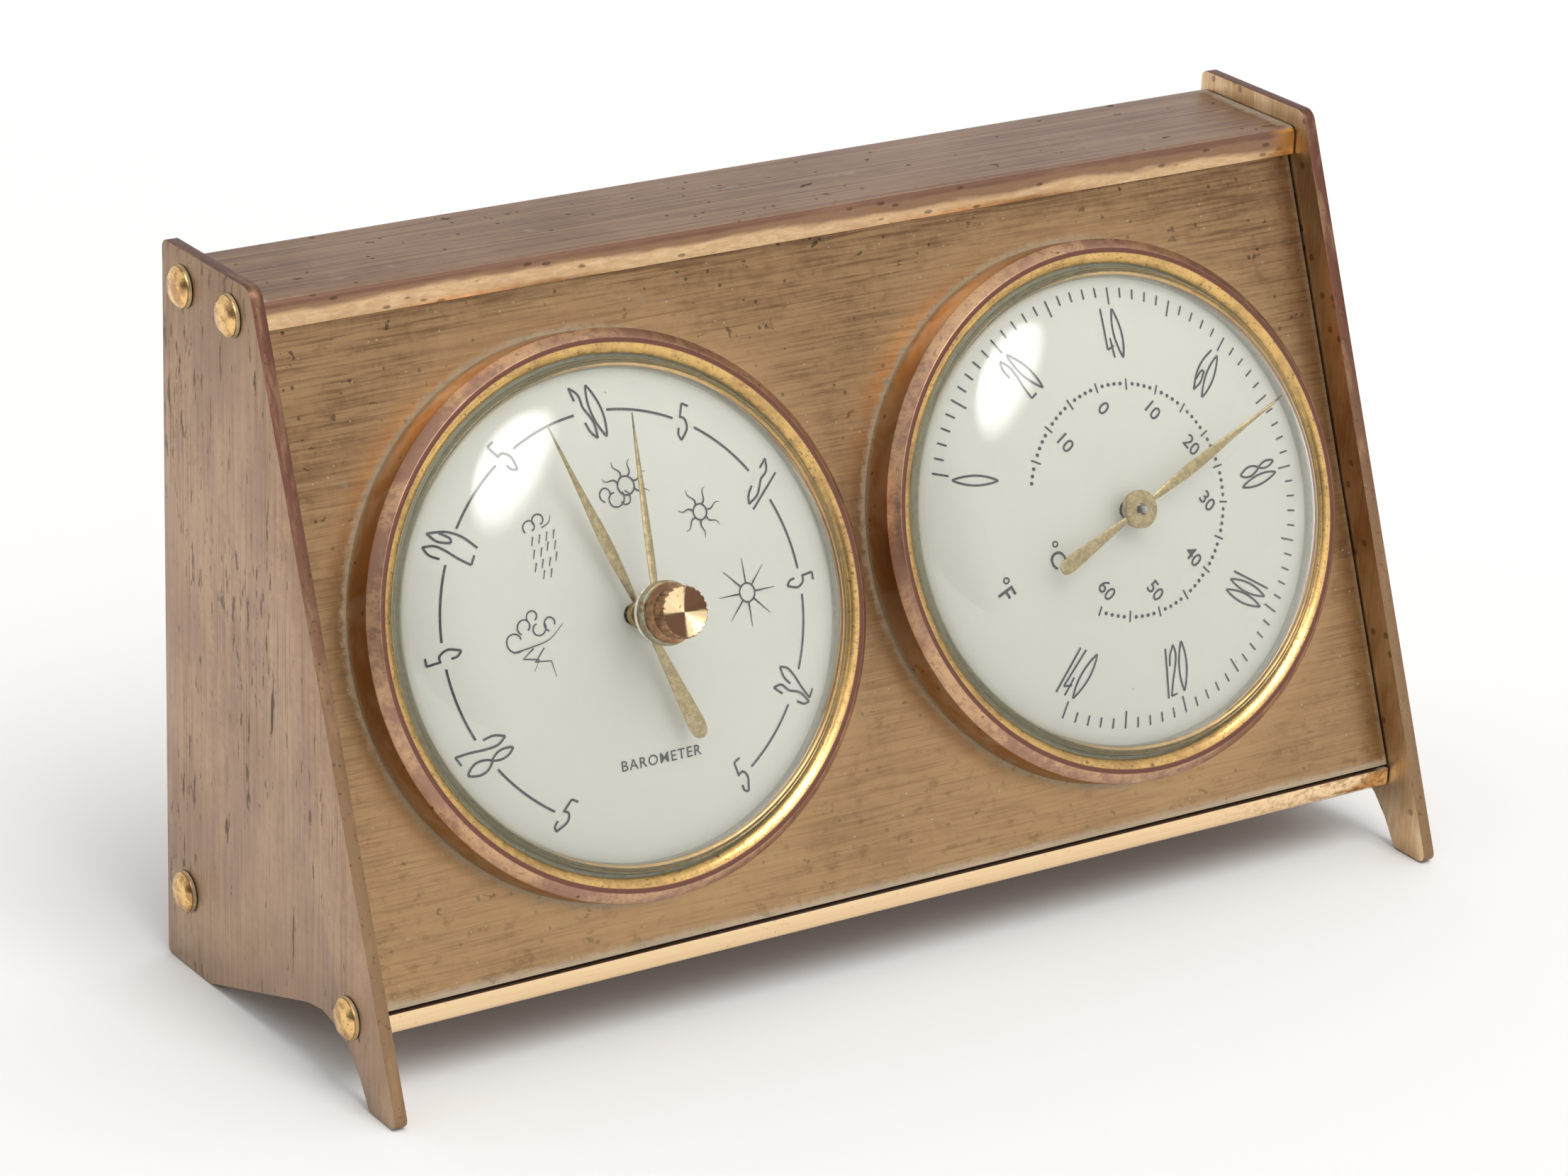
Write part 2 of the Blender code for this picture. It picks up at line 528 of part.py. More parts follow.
# ---------------------------------------------------------------- toothed sector
sector_frame = PRESSURE @ Matrix.Translation((CENTRES, 0, 0))
SECTOR_THICK = 0.8 * MM
sector_low = -4.3 * MM
first_tooth, last_tooth = 24, 37
teeth = gear_outline(SECTOR_TEETH, MODULE, first_tooth, last_tooth)
sector_outline = teeth + [(-1.5 * MM, -2.2 * MM), (4.6 * MM, -2.2 * MM), (8.2 * MM, -1.6 * MM), (8.2 * MM, 1.6 * MM),
                          (4.6 * MM, 2.2 * MM), (-1.5 * MM, 2.2 * MM)]
sector = place("toothed_sector", prism(sector_outline, sector_low, sector_low + SECTOR_THICK),
               sector_frame)
cut(sector, "tail_slot", box_bm((TAIL_REACH - 1.0 * MM, -0.8 * MM, sector_low - MM),
                                (9.5 * MM, 0.8 * MM, sector_low + 2 * MM)), sector_frame)
add(sector, "sector_staff", rod_bm(ARBOR_RADIUS, -9.4 * MM, 0.8 * MM, steps=16), sector_frame)

# ---------------------------------------------------------------- rocking shaft
rocker_x = CENTRES + TAIL_REACH
rocker_frame = PRESSURE @ Matrix.Translation((rocker_x, 0, ROCKER_H))
shaft = rod_bm(0.7 * MM, -3.6 * MM, 3.6 * MM, steps=16)
bmesh.ops.transform(shaft, matrix=ACROSS, verts=shaft.verts)
rocker = place("rocking_shaft", shaft, rocker_frame, STEEL)
add(rocker, "rocker_hub", box_bm((-1.2 * MM, -1.2 * MM, -1.2 * MM), (1.2 * MM, 1.2 * MM, 1.2 * MM)), rocker_frame)
add(rocker, "rocker_mast", rod_bm(0.4 * MM, 0.9 * MM, ROCKER_ARM + 0.8 * MM, steps=12), rocker_frame)
add(rocker, "rocker_arm", box_bm((-0.9 * MM, -6.0 * MM, -0.5 * MM), (0.9 * MM, -1.0 * MM, 0.5 * MM)), rocker_frame)

# ---------------------------------------------------------------- movement base, capsule and main spring
base = place("movement_base", rod_bm(BASE_RADIUS, BASE_H, BASE_H + PLATE, steps=40), PRESSURE)
bearing_h = ROCKER_H + 1.6 * MM
for k, x in enumerate((rocker_x - ROCKER_POST, rocker_x + ROCKER_POST - 1.0 * MM)):
    add(base, f"rocker_post_{k}", box_bm((x, -1.9 * MM, BASE_H + 0.5 * MM), (x + 1.0 * MM, 1.9 * MM, bearing_h)),
        PRESSURE)
bore = prism([(1.0 * MM * math.cos(a * math.pi / 8), 1.0 * MM * math.sin(a * math.pi / 8)) for a in range(16)],
             -4.5 * MM, 4.5 * MM, ACROSS)
cut(base, "rocker_bearing", bore, rocker_frame)
PILLARS = [((BASE_RADIUS - 2.8 * MM) * math.cos(a), (BASE_RADIUS - 2.8 * MM) * math.sin(a))
           for a in (math.radians(118.5), math.radians(-118.5), math.radians(42))]
for k, spot in enumerate(PILLARS):
    add(base, f"pillar_{k}", rod_bm(1.5 * MM, BASE_H + 0.5 * MM, -GAP, spot, 16), PRESSURE)
cut(base, "base_adjust_hole", rod_bm(1.8 * MM, BASE_H - MM, BASE_H + 3 * MM, (ADJUST_X, 0), 24), PRESSURE)

cap_low = BASE_H + PLATE + GAP
cap_high = cap_low + 6.0 * MM
foot_x = 3.0 * MM - BASE_RADIUS
foot_end = foot_x + 5.4 * MM
capsule_r = min(CAPSULE_RADIUS, rocker_x - ROCKER_POST - 2 * GAP, -foot_end - 2 * GAP)
ridges = [(0, cap_low)]
for k in range(1, 9):
    ridges.append((capsule_r * k / 8, cap_low + (0.5 * MM if k % 2 else 0)))
ridges += [(capsule_r, cap_low + 0.6 * MM), (capsule_r, cap_high - 0.6 * MM)]
for k in range(8, 1, -1):
    ridges.append((capsule_r * k / 8, cap_high - (0.5 * MM if k % 2 else 0)))
boss_top = cap_high + 1.2 * MM
ridges += [(2.0 * MM, cap_high - 0.3 * MM), (2.0 * MM, boss_top), (0, boss_top)]
place("aneroid_capsule", revolve(ridges, 24), PRESSURE, (0.6, 0.6, 0.55))

leaf_low = boss_top + GAP
LEAF = 0.8 * MM
step_x = foot_x + 6.5 * MM
leaf = [(foot_x, leaf_low - 1.2 * MM), (step_x, leaf_low - 1.2 * MM), (step_x, leaf_low),
        (rocker_x - 4.2 * MM, leaf_low), (rocker_x - 4.2 * MM, leaf_low + LEAF), (step_x - LEAF, leaf_low + LEAF),
        (step_x - LEAF, leaf_low - 1.2 * MM + LEAF), (foot_x, leaf_low - 1.2 * MM + LEAF)]
flat = Matrix.Rotation(math.pi / 2, 4, "X")
spring = place("main_spring", prism(leaf, -4.0 * MM, 4.0 * MM, flat), PRESSURE, STEEL)
add(spring, "spring_tongue", box_bm((rocker_x - 5.0 * MM, -6.2 * MM, leaf_low), (rocker_x + 1.0 * MM, -3.6 * MM,
                                                                             leaf_low + LEAF)), PRESSURE)
add(base, "spring_block", box_bm((foot_x, 2.6 * MM, BASE_H + 0.5 * MM),
                                 (foot_end, 4.6 * MM, leaf_low - 1.2 * MM - GAP)), PRESSURE)

# ---------------------------------------------------------------- zero adjusting screw
screw = place("zero_screw", revolve([
    (0, CAN_BACK - 1.6 * MM), (3.0 * MM, CAN_BACK - 1.6 * MM), (3.0 * MM, CAN_BACK - 0.4 * MM),
    (1.4 * MM, CAN_BACK - 0.4 * MM), (1.4 * MM, leaf_low - 1.2 * MM - 0.6 * MM),
    (0, leaf_low - 1.2 * MM - 0.4 * MM)], 24), PRESSURE @ Matrix.Translation((ADJUST_X, 0, 0)))
cut(screw, "screw_slot", box_bm((-0.35 * MM, -4 * MM, CAN_BACK - 3 * MM), (0.35 * MM, 4 * MM, CAN_BACK - MM)),
    PRESSURE @ Matrix.Translation((ADJUST_X, 0, 0)))

# ---------------------------------------------------------------- upper plate, train bridge, hairspring
upper = place("upper_plate", rod_bm(BASE_RADIUS - 2.5 * MM, 0, PLATE, steps=32), PRESSURE)
for k, spot in enumerate(((0, 0), (CENTRES, 0))):
    cut(upper, f"upper_bearing_{k}", rod_bm(ARBOR_RADIUS + GAP, -MM, 2 * MM, spot, 16), PRESSURE)
bridge = place("train_bridge", box_bm((-4.0 * MM, -2.0 * MM, -8.8 * MM), (CENTRES + 2.4 * MM, 2.0 * MM, -7.8 * MM)),
               PRESSURE)
add(bridge, "bridge_wing", box_bm((2.5 * MM, -15.2 * MM, -8.8 * MM), (6.5 * MM, 15.2 * MM, -7.8 * MM)), PRESSURE)
for k, y in enumerate((-13.5 * MM, 13.5 * MM)):
    add(bridge, f"bridge_post_{k}", rod_bm(1.3 * MM, -8.5 * MM, -GAP, (4.5 * MM, y), 16), PRESSURE)
for k, spot in enumerate(((0, 0), (CENTRES, 0))):
    cut(bridge, f"bridge_bearing_{k}", rod_bm(ARBOR_RADIUS + GAP, -11 * MM, -6 * MM, spot, 16), PRESSURE)


def spiral(turns, start, end, half_width, low, high, per_turn=16):
    count = int(turns * per_turn)
    inner, outer = [], []
    for k in range(count + 1):
        a = 2 * math.pi * k / per_turn
        r = start + (end - start) * k / count
        inner.append(((r - half_width) * math.cos(a), (r - half_width) * math.sin(a)))
        outer.append(((r + half_width) * math.cos(a), (r + half_width) * math.sin(a)))
    return prism(outer + inner[::-1], low, high)


place("hairspring", spiral(4.5, 1.3 * MM, 5.5 * MM, 0.1 * MM, -1.9 * MM, -1.3 * MM), PRESSURE, STEEL)

# ---------------------------------------------------------------- thermometer hand and staff
TEMP_H = 11.5 * MM
temp_frame = TEMPERATURE @ turned(TEMPERATURE_ANGLE)
temp_hand = place("temperature_hand", revolve([
    (ARBOR_RADIUS + GAP, 9.9 * MM), (2.5 * MM, 9.9 * MM), (2.75 * MM, 10.1 * MM), (2.75 * MM, 12.3 * MM),
    (2.6 * MM, 12.4 * MM), (ARBOR_RADIUS + GAP, 12.4 * MM)], 32), temp_frame)
TEMP_REACH = DIAL_RADIUS - 6.3 * MM
TEMP_TAIL = 16.5 * MM
add(temp_hand, "temperature_point", blade([(2.3 * MM, 0.3 * MM), (8 * MM, 0.85 * MM), (12 * MM, 0.7 * MM),
                                           (TEMP_REACH, 0.12 * MM)], TEMP_H - 0.15 * MM, TEMP_H + 0.15 * MM),
    temp_frame)
add(temp_hand, "temperature_tail", blade([(-TEMP_TAIL, 0.6 * MM), (-TEMP_TAIL + 0.6 * MM, 1.05 * MM),
                                          (-TEMP_TAIL + 1.6 * MM, 1.15 * MM), (-2.3 * MM, 0.3 * MM)],
                                         TEMP_H - 0.15 * MM, TEMP_H + 0.15 * MM), temp_frame)
place("thermometer_staff", revolve([
    (0, -13.8 * MM), (ARBOR_RADIUS, -13.8 * MM), (ARBOR_RADIUS, 12.9 * MM), (0.35 * MM, 13.2 * MM),
    (0, 13.3 * MM)], 16), TEMPERATURE, STEEL)

# ---------------------------------------------------------------- bimetal coil, its lever and cage
place("bimetal_coil", spiral(5.5, 1.45 * MM, 13.0 * MM, 0.3 * MM, -9.0 * MM, -4.0 * MM), TEMPERATURE, STEEL)
lever = place("calibration_lever", revolve([
    (ARBOR_RADIUS + 0.5 * MM, -11.4 * MM), (3.5 * MM, -11.4 * MM), (3.5 * MM, -10.4 * MM),
    (ARBOR_RADIUS + 0.5 * MM, -10.4 * MM)], 32), TEMPERATURE)
add(lever, "lever_arm", box_bm((-19.0 * MM, -1.5 * MM, -11.4 * MM), (-2.0 * MM, 1.5 * MM, -10.4 * MM)), TEMPERATURE)
add(lever, "lever_post", box_bm((-15.6 * MM, -1.2 * MM, -10.8 * MM), (-13.9 * MM, 1.2 * MM, -4.0 * MM)), TEMPERATURE)
cage = place("staff_cage", box_bm((-3.0 * MM, -21.0 * MM, -14.0 * MM), (3.0 * MM, 21.0 * MM, -13.0 * MM)), TEMPERATURE)
for k, y in enumerate((-19.0 * MM, 19.0 * MM)):
    add(cage, f"cage_post_{k}", rod_bm(1.5 * MM, -13.5 * MM, -0.3 * MM, (0, y), 16), TEMPERATURE)
cut(cage, "cage_bearing", rod_bm(ARBOR_RADIUS + GAP, -16 * MM, -12 * MM, steps=16), TEMPERATURE)
bridge_half = CAN_RADIUS - 5.3 * MM
bar = place("dial_bridge", box_bm((-4.0 * MM, -bridge_half, 0), (4.0 * MM, bridge_half, PLATE)), TEMPERATURE)
cut(bar, "bridge_bearing", rod_bm(ARBOR_RADIUS + GAP, -MM, 3 * MM, steps=16), TEMPERATURE)
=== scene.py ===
"""Looks of a brass desk weather station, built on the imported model.

Millimetres inside each section, metres in every mesh. A dial has its own frame, taken from its
pointer's joint: x across the case, y up the slanted panel, z straight out of the panel.
"""
import json
import math
import random
import bmesh
import bpy
from mathutils import Matrix, Vector


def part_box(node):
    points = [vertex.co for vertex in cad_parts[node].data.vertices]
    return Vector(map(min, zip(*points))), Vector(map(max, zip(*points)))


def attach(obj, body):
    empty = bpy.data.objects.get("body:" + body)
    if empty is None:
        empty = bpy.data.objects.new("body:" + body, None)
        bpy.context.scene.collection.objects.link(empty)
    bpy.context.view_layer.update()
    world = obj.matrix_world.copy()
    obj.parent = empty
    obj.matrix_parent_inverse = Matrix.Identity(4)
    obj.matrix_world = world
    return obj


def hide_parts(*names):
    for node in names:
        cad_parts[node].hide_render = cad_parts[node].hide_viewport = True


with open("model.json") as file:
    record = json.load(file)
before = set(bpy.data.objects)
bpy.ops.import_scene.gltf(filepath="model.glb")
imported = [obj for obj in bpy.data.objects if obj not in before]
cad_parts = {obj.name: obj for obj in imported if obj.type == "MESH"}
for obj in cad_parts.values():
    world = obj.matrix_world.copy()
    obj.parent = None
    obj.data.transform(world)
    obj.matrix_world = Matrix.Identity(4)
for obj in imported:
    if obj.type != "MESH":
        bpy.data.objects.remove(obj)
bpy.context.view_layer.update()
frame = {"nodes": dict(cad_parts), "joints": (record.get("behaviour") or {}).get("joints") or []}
MM = 0.001

# ================================================================ table, light and camera
# A flat white floor under a light tent: an even sky, one large lamp above the front,
# a brighter band of sky in front, and a dark opening on the side where the viewer stands.
bpy.context.scene.view_settings.view_transform = "Standard"
world = bpy.data.worlds.new("light_tent")
bpy.context.scene.world = world
world.use_nodes = True
sky = world.node_tree
tent = sky.nodes["Background"]
ray = sky.nodes.new("ShaderNodeTexCoord").outputs["Generated"]


def sky_math(operation, first, second=0.0):
    """One Math node of the sky, from sockets or numbers."""
    made = sky.nodes.new("ShaderNodeMath")
    made.operation = operation
    for slot, value in enumerate((first, second)):
        if isinstance(value, bpy.types.NodeSocket):
            sky.links.new(value, made.inputs[slot])
        else:
            made.inputs[slot].default_value = value
    return made.outputs[0]


def facing(direction):
    """Cosine between the sky's direction and one chosen direction."""
    made = sky.nodes.new("ShaderNodeVectorMath")
    made.operation = "DOT_PRODUCT"
    made.inputs[1].default_value = Vector(direction).normalized()
    sky.links.new(ray, made.inputs[0])
    return made.outputs["Value"]


def sky_step(value, low, high):
    made = sky.nodes.new("ShaderNodeMapRange")
    made.interpolation_type = "SMOOTHSTEP"
    sky.links.new(value, made.inputs[0])
    made.inputs[1].default_value, made.inputs[2].default_value = low, high
    return made.outputs[0]


# The large lamp is an oval of the sky, longer from front to back than it is wide.
LAMP = Vector((0.04, -0.50, 0.87)).normalized()
lamp_side = Vector((1, 0, 0)) - LAMP * LAMP.x
lamp_length = LAMP.cross(lamp_side)
wide = sky_math("DIVIDE", facing(lamp_side), 0.27)
long = sky_math("DIVIDE", facing(lamp_length), 0.42)
oval = sky_math("ADD", sky_math("MULTIPLY", wide, wide), sky_math("MULTIPLY", long, long))
lamp_glow = sky_math("MULTIPLY", sky_step(oval, 1.0, 0.45), sky_step(facing(LAMP), 0.0, 0.1))
viewer = sky_step(facing((-0.80, -0.60, 0.02)), 0.62, 0.90)
front = sky_math("MULTIPLY", sky_step(facing((0.10, -0.90, 0.42)), 0.50, 1.0), 0.22)
even = sky_math("SUBTRACT", sky_math("ADD", 0.80, front), sky_math("MULTIPLY", viewer, 0.66))
sky.links.new(sky_math("ADD", even, sky_math("MULTIPLY", lamp_glow, 5.6)), tent.inputs["Strength"])
tent.inputs["Color"].default_value = (1.0, 0.995, 0.985, 1)

bm = bmesh.new()
bmesh.ops.create_grid(bm, x_segments=1, y_segments=1, size=4.0)
floor_mesh = bpy.data.meshes.new("sweep")
bm.to_mesh(floor_mesh)
bm.free()
sweep = bpy.data.objects.new("sweep", floor_mesh)
bpy.context.scene.collection.objects.link(sweep)
paper = bpy.data.materials.new("white_paper")
paper.use_nodes = True
paper.node_tree.nodes["Principled BSDF"].inputs["Base Color"].default_value = (0.86, 0.86, 0.855, 1)
paper.node_tree.nodes["Principled BSDF"].inputs["Roughness"].default_value = 0.9
sweep.data.materials.append(paper)
sweep.location.z = -0.0002

camera_data = bpy.data.cameras.new("camera")
camera_data.sensor_width = 36.0
camera_data.lens = 128.59
camera = bpy.data.objects.new("camera", camera_data)
look_back = Vector((-0.51949, -0.77132, 0.36770)).normalized()
look_right = Vector((0.83591, -0.54795, 0.03157)).normalized()
look_up = look_back.cross(look_right)
camera.matrix_world = Matrix((look_right, look_up, look_back)).transposed().to_4x4()
camera.location = (-0.43626, -0.63576, 0.35618)
bpy.context.scene.collection.objects.link(camera)
bpy.context.scene.camera = camera


# ================================================================ cheeks
# Two cheeks cut from 2 mm brass plate, brushed up and down, their corners eased by hand.
# The lacquer has worn through: browned faces, long dark stains, red-brown cut edges.
class Wire:
    """One output of a finish's node tree. A sum of wires becomes Math nodes."""

    def __init__(self, finish, socket):
        self.finish, self.socket = finish, socket

    def math(self, operation, other, swapped=False):
        pair = (other, self) if swapped else (self, other)
        return self.finish.node("ShaderNodeMath", {"operation": operation}, dict(enumerate(pair)))

    def __add__(self, other): return self.math("ADD", other)
    def __radd__(self, other): return self.math("ADD", other, True)
    def __sub__(self, other): return self.math("SUBTRACT", other)
    def __rsub__(self, other): return self.math("SUBTRACT", other, True)
    def __mul__(self, other): return self.math("MULTIPLY", other)
    def __rmul__(self, other): return self.math("MULTIPLY", other, True)
    def __truediv__(self, other): return self.math("DIVIDE", other)
    def __pow__(self, other): return self.math("POWER", other)


class Finish:
    """A material whose pattern is read in millimetres from Object coordinates."""

    def __init__(self, name, **fixed):
        self.material = bpy.data.materials.new(name)
        self.material.use_nodes = True
        self.tree = self.material.node_tree
        self.shader = self.tree.nodes["Principled BSDF"]
        for label, value in fixed.items():
            self.shader.inputs[label.replace("_", " ")].default_value = value
        metres = self.node("ShaderNodeTexCoord", output="Object")
        self.place = self.node("ShaderNodeVectorMath", {"operation": "SCALE"}, {0: metres, "Scale": 1000.0})

    def node(self, kind, settings=None, inputs=None, output=0):
        made = self.tree.nodes.new(kind)
        for label, value in (settings or {}).items():
            setattr(made, label, value)
        for label, value in (inputs or {}).items():
            if isinstance(value, Wire):
                self.tree.links.new(value.socket, made.inputs[label])
            else:
                made.inputs[label].default_value = value
        return Wire(self, made.outputs[output])

    def axis(self, number):
        return self.node("ShaderNodeSeparateXYZ", {}, {0: self.place}, number)

    def noise(self, per_mm, detail=3.0, rough=0.5, seed=0.0, bend=0.0):
        """Noise with its own count of cells per millimetre along x, y and z."""
        moved = self.node("ShaderNodeMapping", {}, {
            "Vector": self.place, "Scale": per_mm, "Location": (seed * 7.31, seed * 3.17, seed * 5.53)})
        return self.node("ShaderNodeTexNoise", {}, {
            "Vector": moved, "Scale": 1.0, "Detail": detail, "Roughness": rough, "Distortion": bend})

    def mask(self, value, low, high):
        """0 under low, 1 over high, smooth between; low may be the larger."""
        return self.node("ShaderNodeMapRange", {"interpolation_type": "SMOOTHSTEP"}, {
            0: value, 1: low, 2: high, 3: 0.0, 4: 1.0})

    def mix(self, share, first, second):
        """Colours are linear triples or wires."""
        def rgba(colour): return colour if isinstance(colour, Wire) else (*colour, 1.0)
        return self.node("ShaderNodeMix", {"data_type": "RGBA"}, {
            0: share, 6: rgba(first), 7: rgba(second)}, 2)

    def specks(self, per_mm, size, share, seed=0.0):
        """Small round specks, one in each cell that a random draw picks."""
        moved = self.node("ShaderNodeMapping", {}, {
            "Vector": self.place, "Scale": per_mm, "Location": (seed * 4.1, seed * 9.7, seed * 2.3)})
        cell = self.node("ShaderNodeTexVoronoi", {}, {"Vector": moved, "Scale": 1.0})
        draw = self.node("ShaderNodeSeparateColor", {}, {0: Wire(self, cell.socket.node.outputs["Color"])})
        return self.mask(cell, size, size * 0.6) * self.mask(draw, 1 - share, 1 - share + 0.02)

    def wear(self, colour, roughness, bump=None, bump_mm=0.02, metallic=None):
        for label, value in (("Base Color", colour), ("Roughness", roughness), ("Metallic", metallic)):
            if value is not None:
                self.tree.links.new(value.socket, self.shader.inputs[label])
        if bump is not None:
            normal = self.node("ShaderNodeBump", {}, {"Height": bump, "Strength": 1.0, "Distance": bump_mm * MM})
            self.tree.links.new(normal.socket, self.shader.inputs["Normal"])
        return self.material


CLEAN_BRASS = (0.62, 0.42, 0.20)
BROWN_PATINA = (0.20, 0.115, 0.065)
RED_PATINA = (0.165, 0.072, 0.052)
BLACK_STAIN = (0.060, 0.042, 0.028)
GREY_DUST = (0.40, 0.38, 0.30)


def brushed_brass(name, light, dark, lines, stains, seed, rough=0.38):
    """Brushed, browned brass; returns the finish, its colour, its roughness and its line height."""
    f = Finish(name, Metallic=1.0)
    fine = f.noise(lines, 2.0, 0.6, seed)
    broad = f.noise([c * 0.28 for c in lines], 3.0, 0.55, seed + 1)
    cloud = f.noise((0.045, 0.045, 0.045), 4.0, 0.6, seed + 2, 0.4)
    mottle = f.noise((0.7, 0.7, 0.7), 3.0, 0.6, seed + 3)
    tone = f.mix(f.mask(cloud * 0.65 + mottle * 0.35, 0.36, 0.62), dark, light)
    streak = f.mask(fine * 0.6 + broad * 0.4, 0.40, 0.62)
    tone = f.mix(streak * 0.42, tone, f.mix(0.5, light, CLEAN_BRASS))
    tone = f.mix(f.mask(fine, 0.46, 0.30) * 0.45, tone, [c * 0.62 for c in dark])
    blot = f.noise(stains, 4.0, 0.62, seed + 4, 0.3)
    pit = f.mask(blot, 0.655, 0.70)
    dots = f.specks((0.55, 0.55, 0.55), 0.22, 0.16, seed)
    spots = f.mask(pit + dots * 0.8, 0.0, 1.0)
    tone = f.mix(spots * 0.72, tone, BLACK_STAIN)
    roughness = (rough + mottle * 0.10 + streak * -0.06) + spots * 0.22
    height = fine * 0.5 + broad * 0.25 - spots * 0.9
    return f, tone, roughness, height


def cheek_face():
    f, tone, rough, height = brushed_brass("cheek_brass", (0.475, 0.325, 0.235), (0.345, 0.225, 0.160),
                                           (2.4, 2.4, 0.05), (0.34, 0.34, 0.06), 3.0, 0.40)
    low = f.mask(f.axis(2), 60.0, 0.0)
    tone = f.mix(low * 0.22, tone, (0.50, 0.36, 0.225))
    haze = f.noise((0.10, 0.10, 0.04), 3.0, 0.5, 21.0)
    tone = f.mix(f.mask(haze, 0.46, 0.62) * 0.45, tone, (0.33, 0.215, 0.155))
    field = f.noise((0.06, 0.06, 0.04), 2.0, 0.5, 22.0)
    dash = f.noise((0.9, 0.9, 0.22), 4.0, 0.65, 23.0)
    stain = f.mask(dash + f.mask(field, 0.42, 0.68) * 0.10, 0.64, 0.70)
    tone = f.mix(stain * 0.62, tone, (0.115, 0.085, 0.060))
    brow = f.mask(f.axis(2) + haze * 30.0, 104.0, 122.0)
    tone = f.mix(brow * 0.5, tone, (0.27, 0.18, 0.11))
    return f.wear(tone, rough + stain * 0.15, height - stain * 0.4, 0.012)


def cheek_inside():
    f = Finish("cheek_inner_brass", Metallic=1.0)
    brush = f.noise((2.4, 2.4, 0.06), 3.0, 0.6, 25.0)
    cloud = f.noise((0.14, 0.14, 0.08), 3.0, 0.6, 26.0)
    tone = f.mix(f.mask(cloud * 0.7 + brush * 0.3, 0.38, 0.62), (0.56, 0.36, 0.19), (0.80, 0.60, 0.38))
    tone = f.mix(f.specks((0.4, 0.4, 0.4), 0.28, 0.2, 27.0) * 0.6, tone, BROWN_PATINA)
    return f.wear(tone, 0.32 + brush * 0.12, brush, 0.010)


def cheek_edge():
    f = Finish("cheek_edge_brass", Metallic=1.0)
    along = f.noise((0.5, 0.12, 0.12), 3.0, 0.6, 31.0)
    fleck = f.noise((1.6, 1.2, 1.2), 3.0, 0.6, 32.0)
    high = f.mask(f.axis(2), 30.0, 95.0)
    tone = f.mix(high, (0.30, 0.185, 0.105), RED_PATINA)
    tone = f.mix(f.mask(along, 0.48, 0.68) * 0.45, tone, (0.42, 0.27, 0.15))
    tone = f.mix(f.mask(fleck, 0.60, 0.70) * 0.6, tone, BLACK_STAIN)
    return f.wear(tone, 0.36 + fleck * 0.15, fleck, 0.02)


def eased(node, name, width, keep=None, steps=2):
    """A merged copy of a CAD node with its sharp corners broken by a small bevel."""
    bm = bmesh.new()
    bm.from_mesh(frame["nodes"][node].data)
    bmesh.ops.remove_doubles(bm, verts=bm.verts, dist=2e-6)
    bmesh.ops.dissolve_limit(bm, angle_limit=0.01, verts=bm.verts, edges=bm.edges)
    corners = [e for e in bm.edges if len(e.link_faces) == 2 and e.calc_face_angle() > 0.6
               and (keep is None or keep(e))]
    bmesh.ops.bevel(bm, geom=corners, offset=width * MM, segments=steps, profile=0.5,
                    affect="EDGES", clamp_overlap=True)
    for face in bm.faces:
        face.smooth = True
    for edge in bm.edges:
        edge.smooth = len(edge.link_faces) == 2 and edge.calc_face_angle() < 0.5
    return finish_mesh(bm, name)


def finish_mesh(bm, name, place=None, smooth=None):
    """A bmesh becomes an object at the origin; smooth is the largest angle shaded round."""
    if place is not None:
        bmesh.ops.transform(bm, matrix=place, verts=bm.verts)
    if smooth is not None:
        for face in bm.faces:
            face.smooth = True
        for edge in bm.edges:
            edge.smooth = len(edge.link_faces) == 2 and edge.calc_face_angle() < smooth
    mesh = bpy.data.meshes.new(name)
    bm.to_mesh(mesh)
    bm.free()
    made = bpy.data.objects.new(name, mesh)
    bpy.context.scene.collection.objects.link(made)
    return made


rods = {name: (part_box(name)[0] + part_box(name)[1]) / 2
        for name in ("tie_rod_top_rear", "tie_rod_top_front", "tie_rod_low_rear", "tie_rod_low_front")}


def off_the_rods(edge):
    middle = (edge.verts[0].co + edge.verts[1].co) / 2
    return all(math.hypot(middle.y - r.y, middle.z - r.z) > 2.2 * MM for r in rods.values())


cheek_brass = (cheek_face(), cheek_edge(), cheek_inside())
for side in ("left", "right"):
    cheek = eased(f"{side}_cheek", f"{side}_cheek_plate", 0.22, off_the_rods)
    for finish in cheek_brass:
        cheek.data.materials.append(finish)
    for polygon in cheek.data.polygons:
        inward = -polygon.normal.x if side == "right" else polygon.normal.x
        polygon.material_index = 2 if inward > 0.8 else int(inward > -0.8)
    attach(cheek, "case")
    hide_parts(f"{side}_cheek")


# ================================================================ tie rods
# Four turned steel rods hold the cheeks apart; each ends in a thinner threaded stud.
def plain_steel(name, colour=(0.42, 0.41, 0.40), seed=41.0):
    f = Finish(name, Metallic=1.0)
    turn = f.noise((3.0, 3.0, 3.0), 2.0, 0.5, seed)
    cloud = f.noise((0.3, 0.3, 0.3), 3.0, 0.6, seed + 1)
    tone = f.mix(f.mask(cloud, 0.5, 0.75) * 0.5, colour, (0.20, 0.16, 0.12))
    return f.wear(tone, 0.28 + cloud * 0.25, turn, 0.004)


rod_steel = plain_steel("rod_steel")
for name in rods:
    frame["nodes"][name].data.materials.clear()
    frame["nodes"][name].data.materials.append(rod_steel)


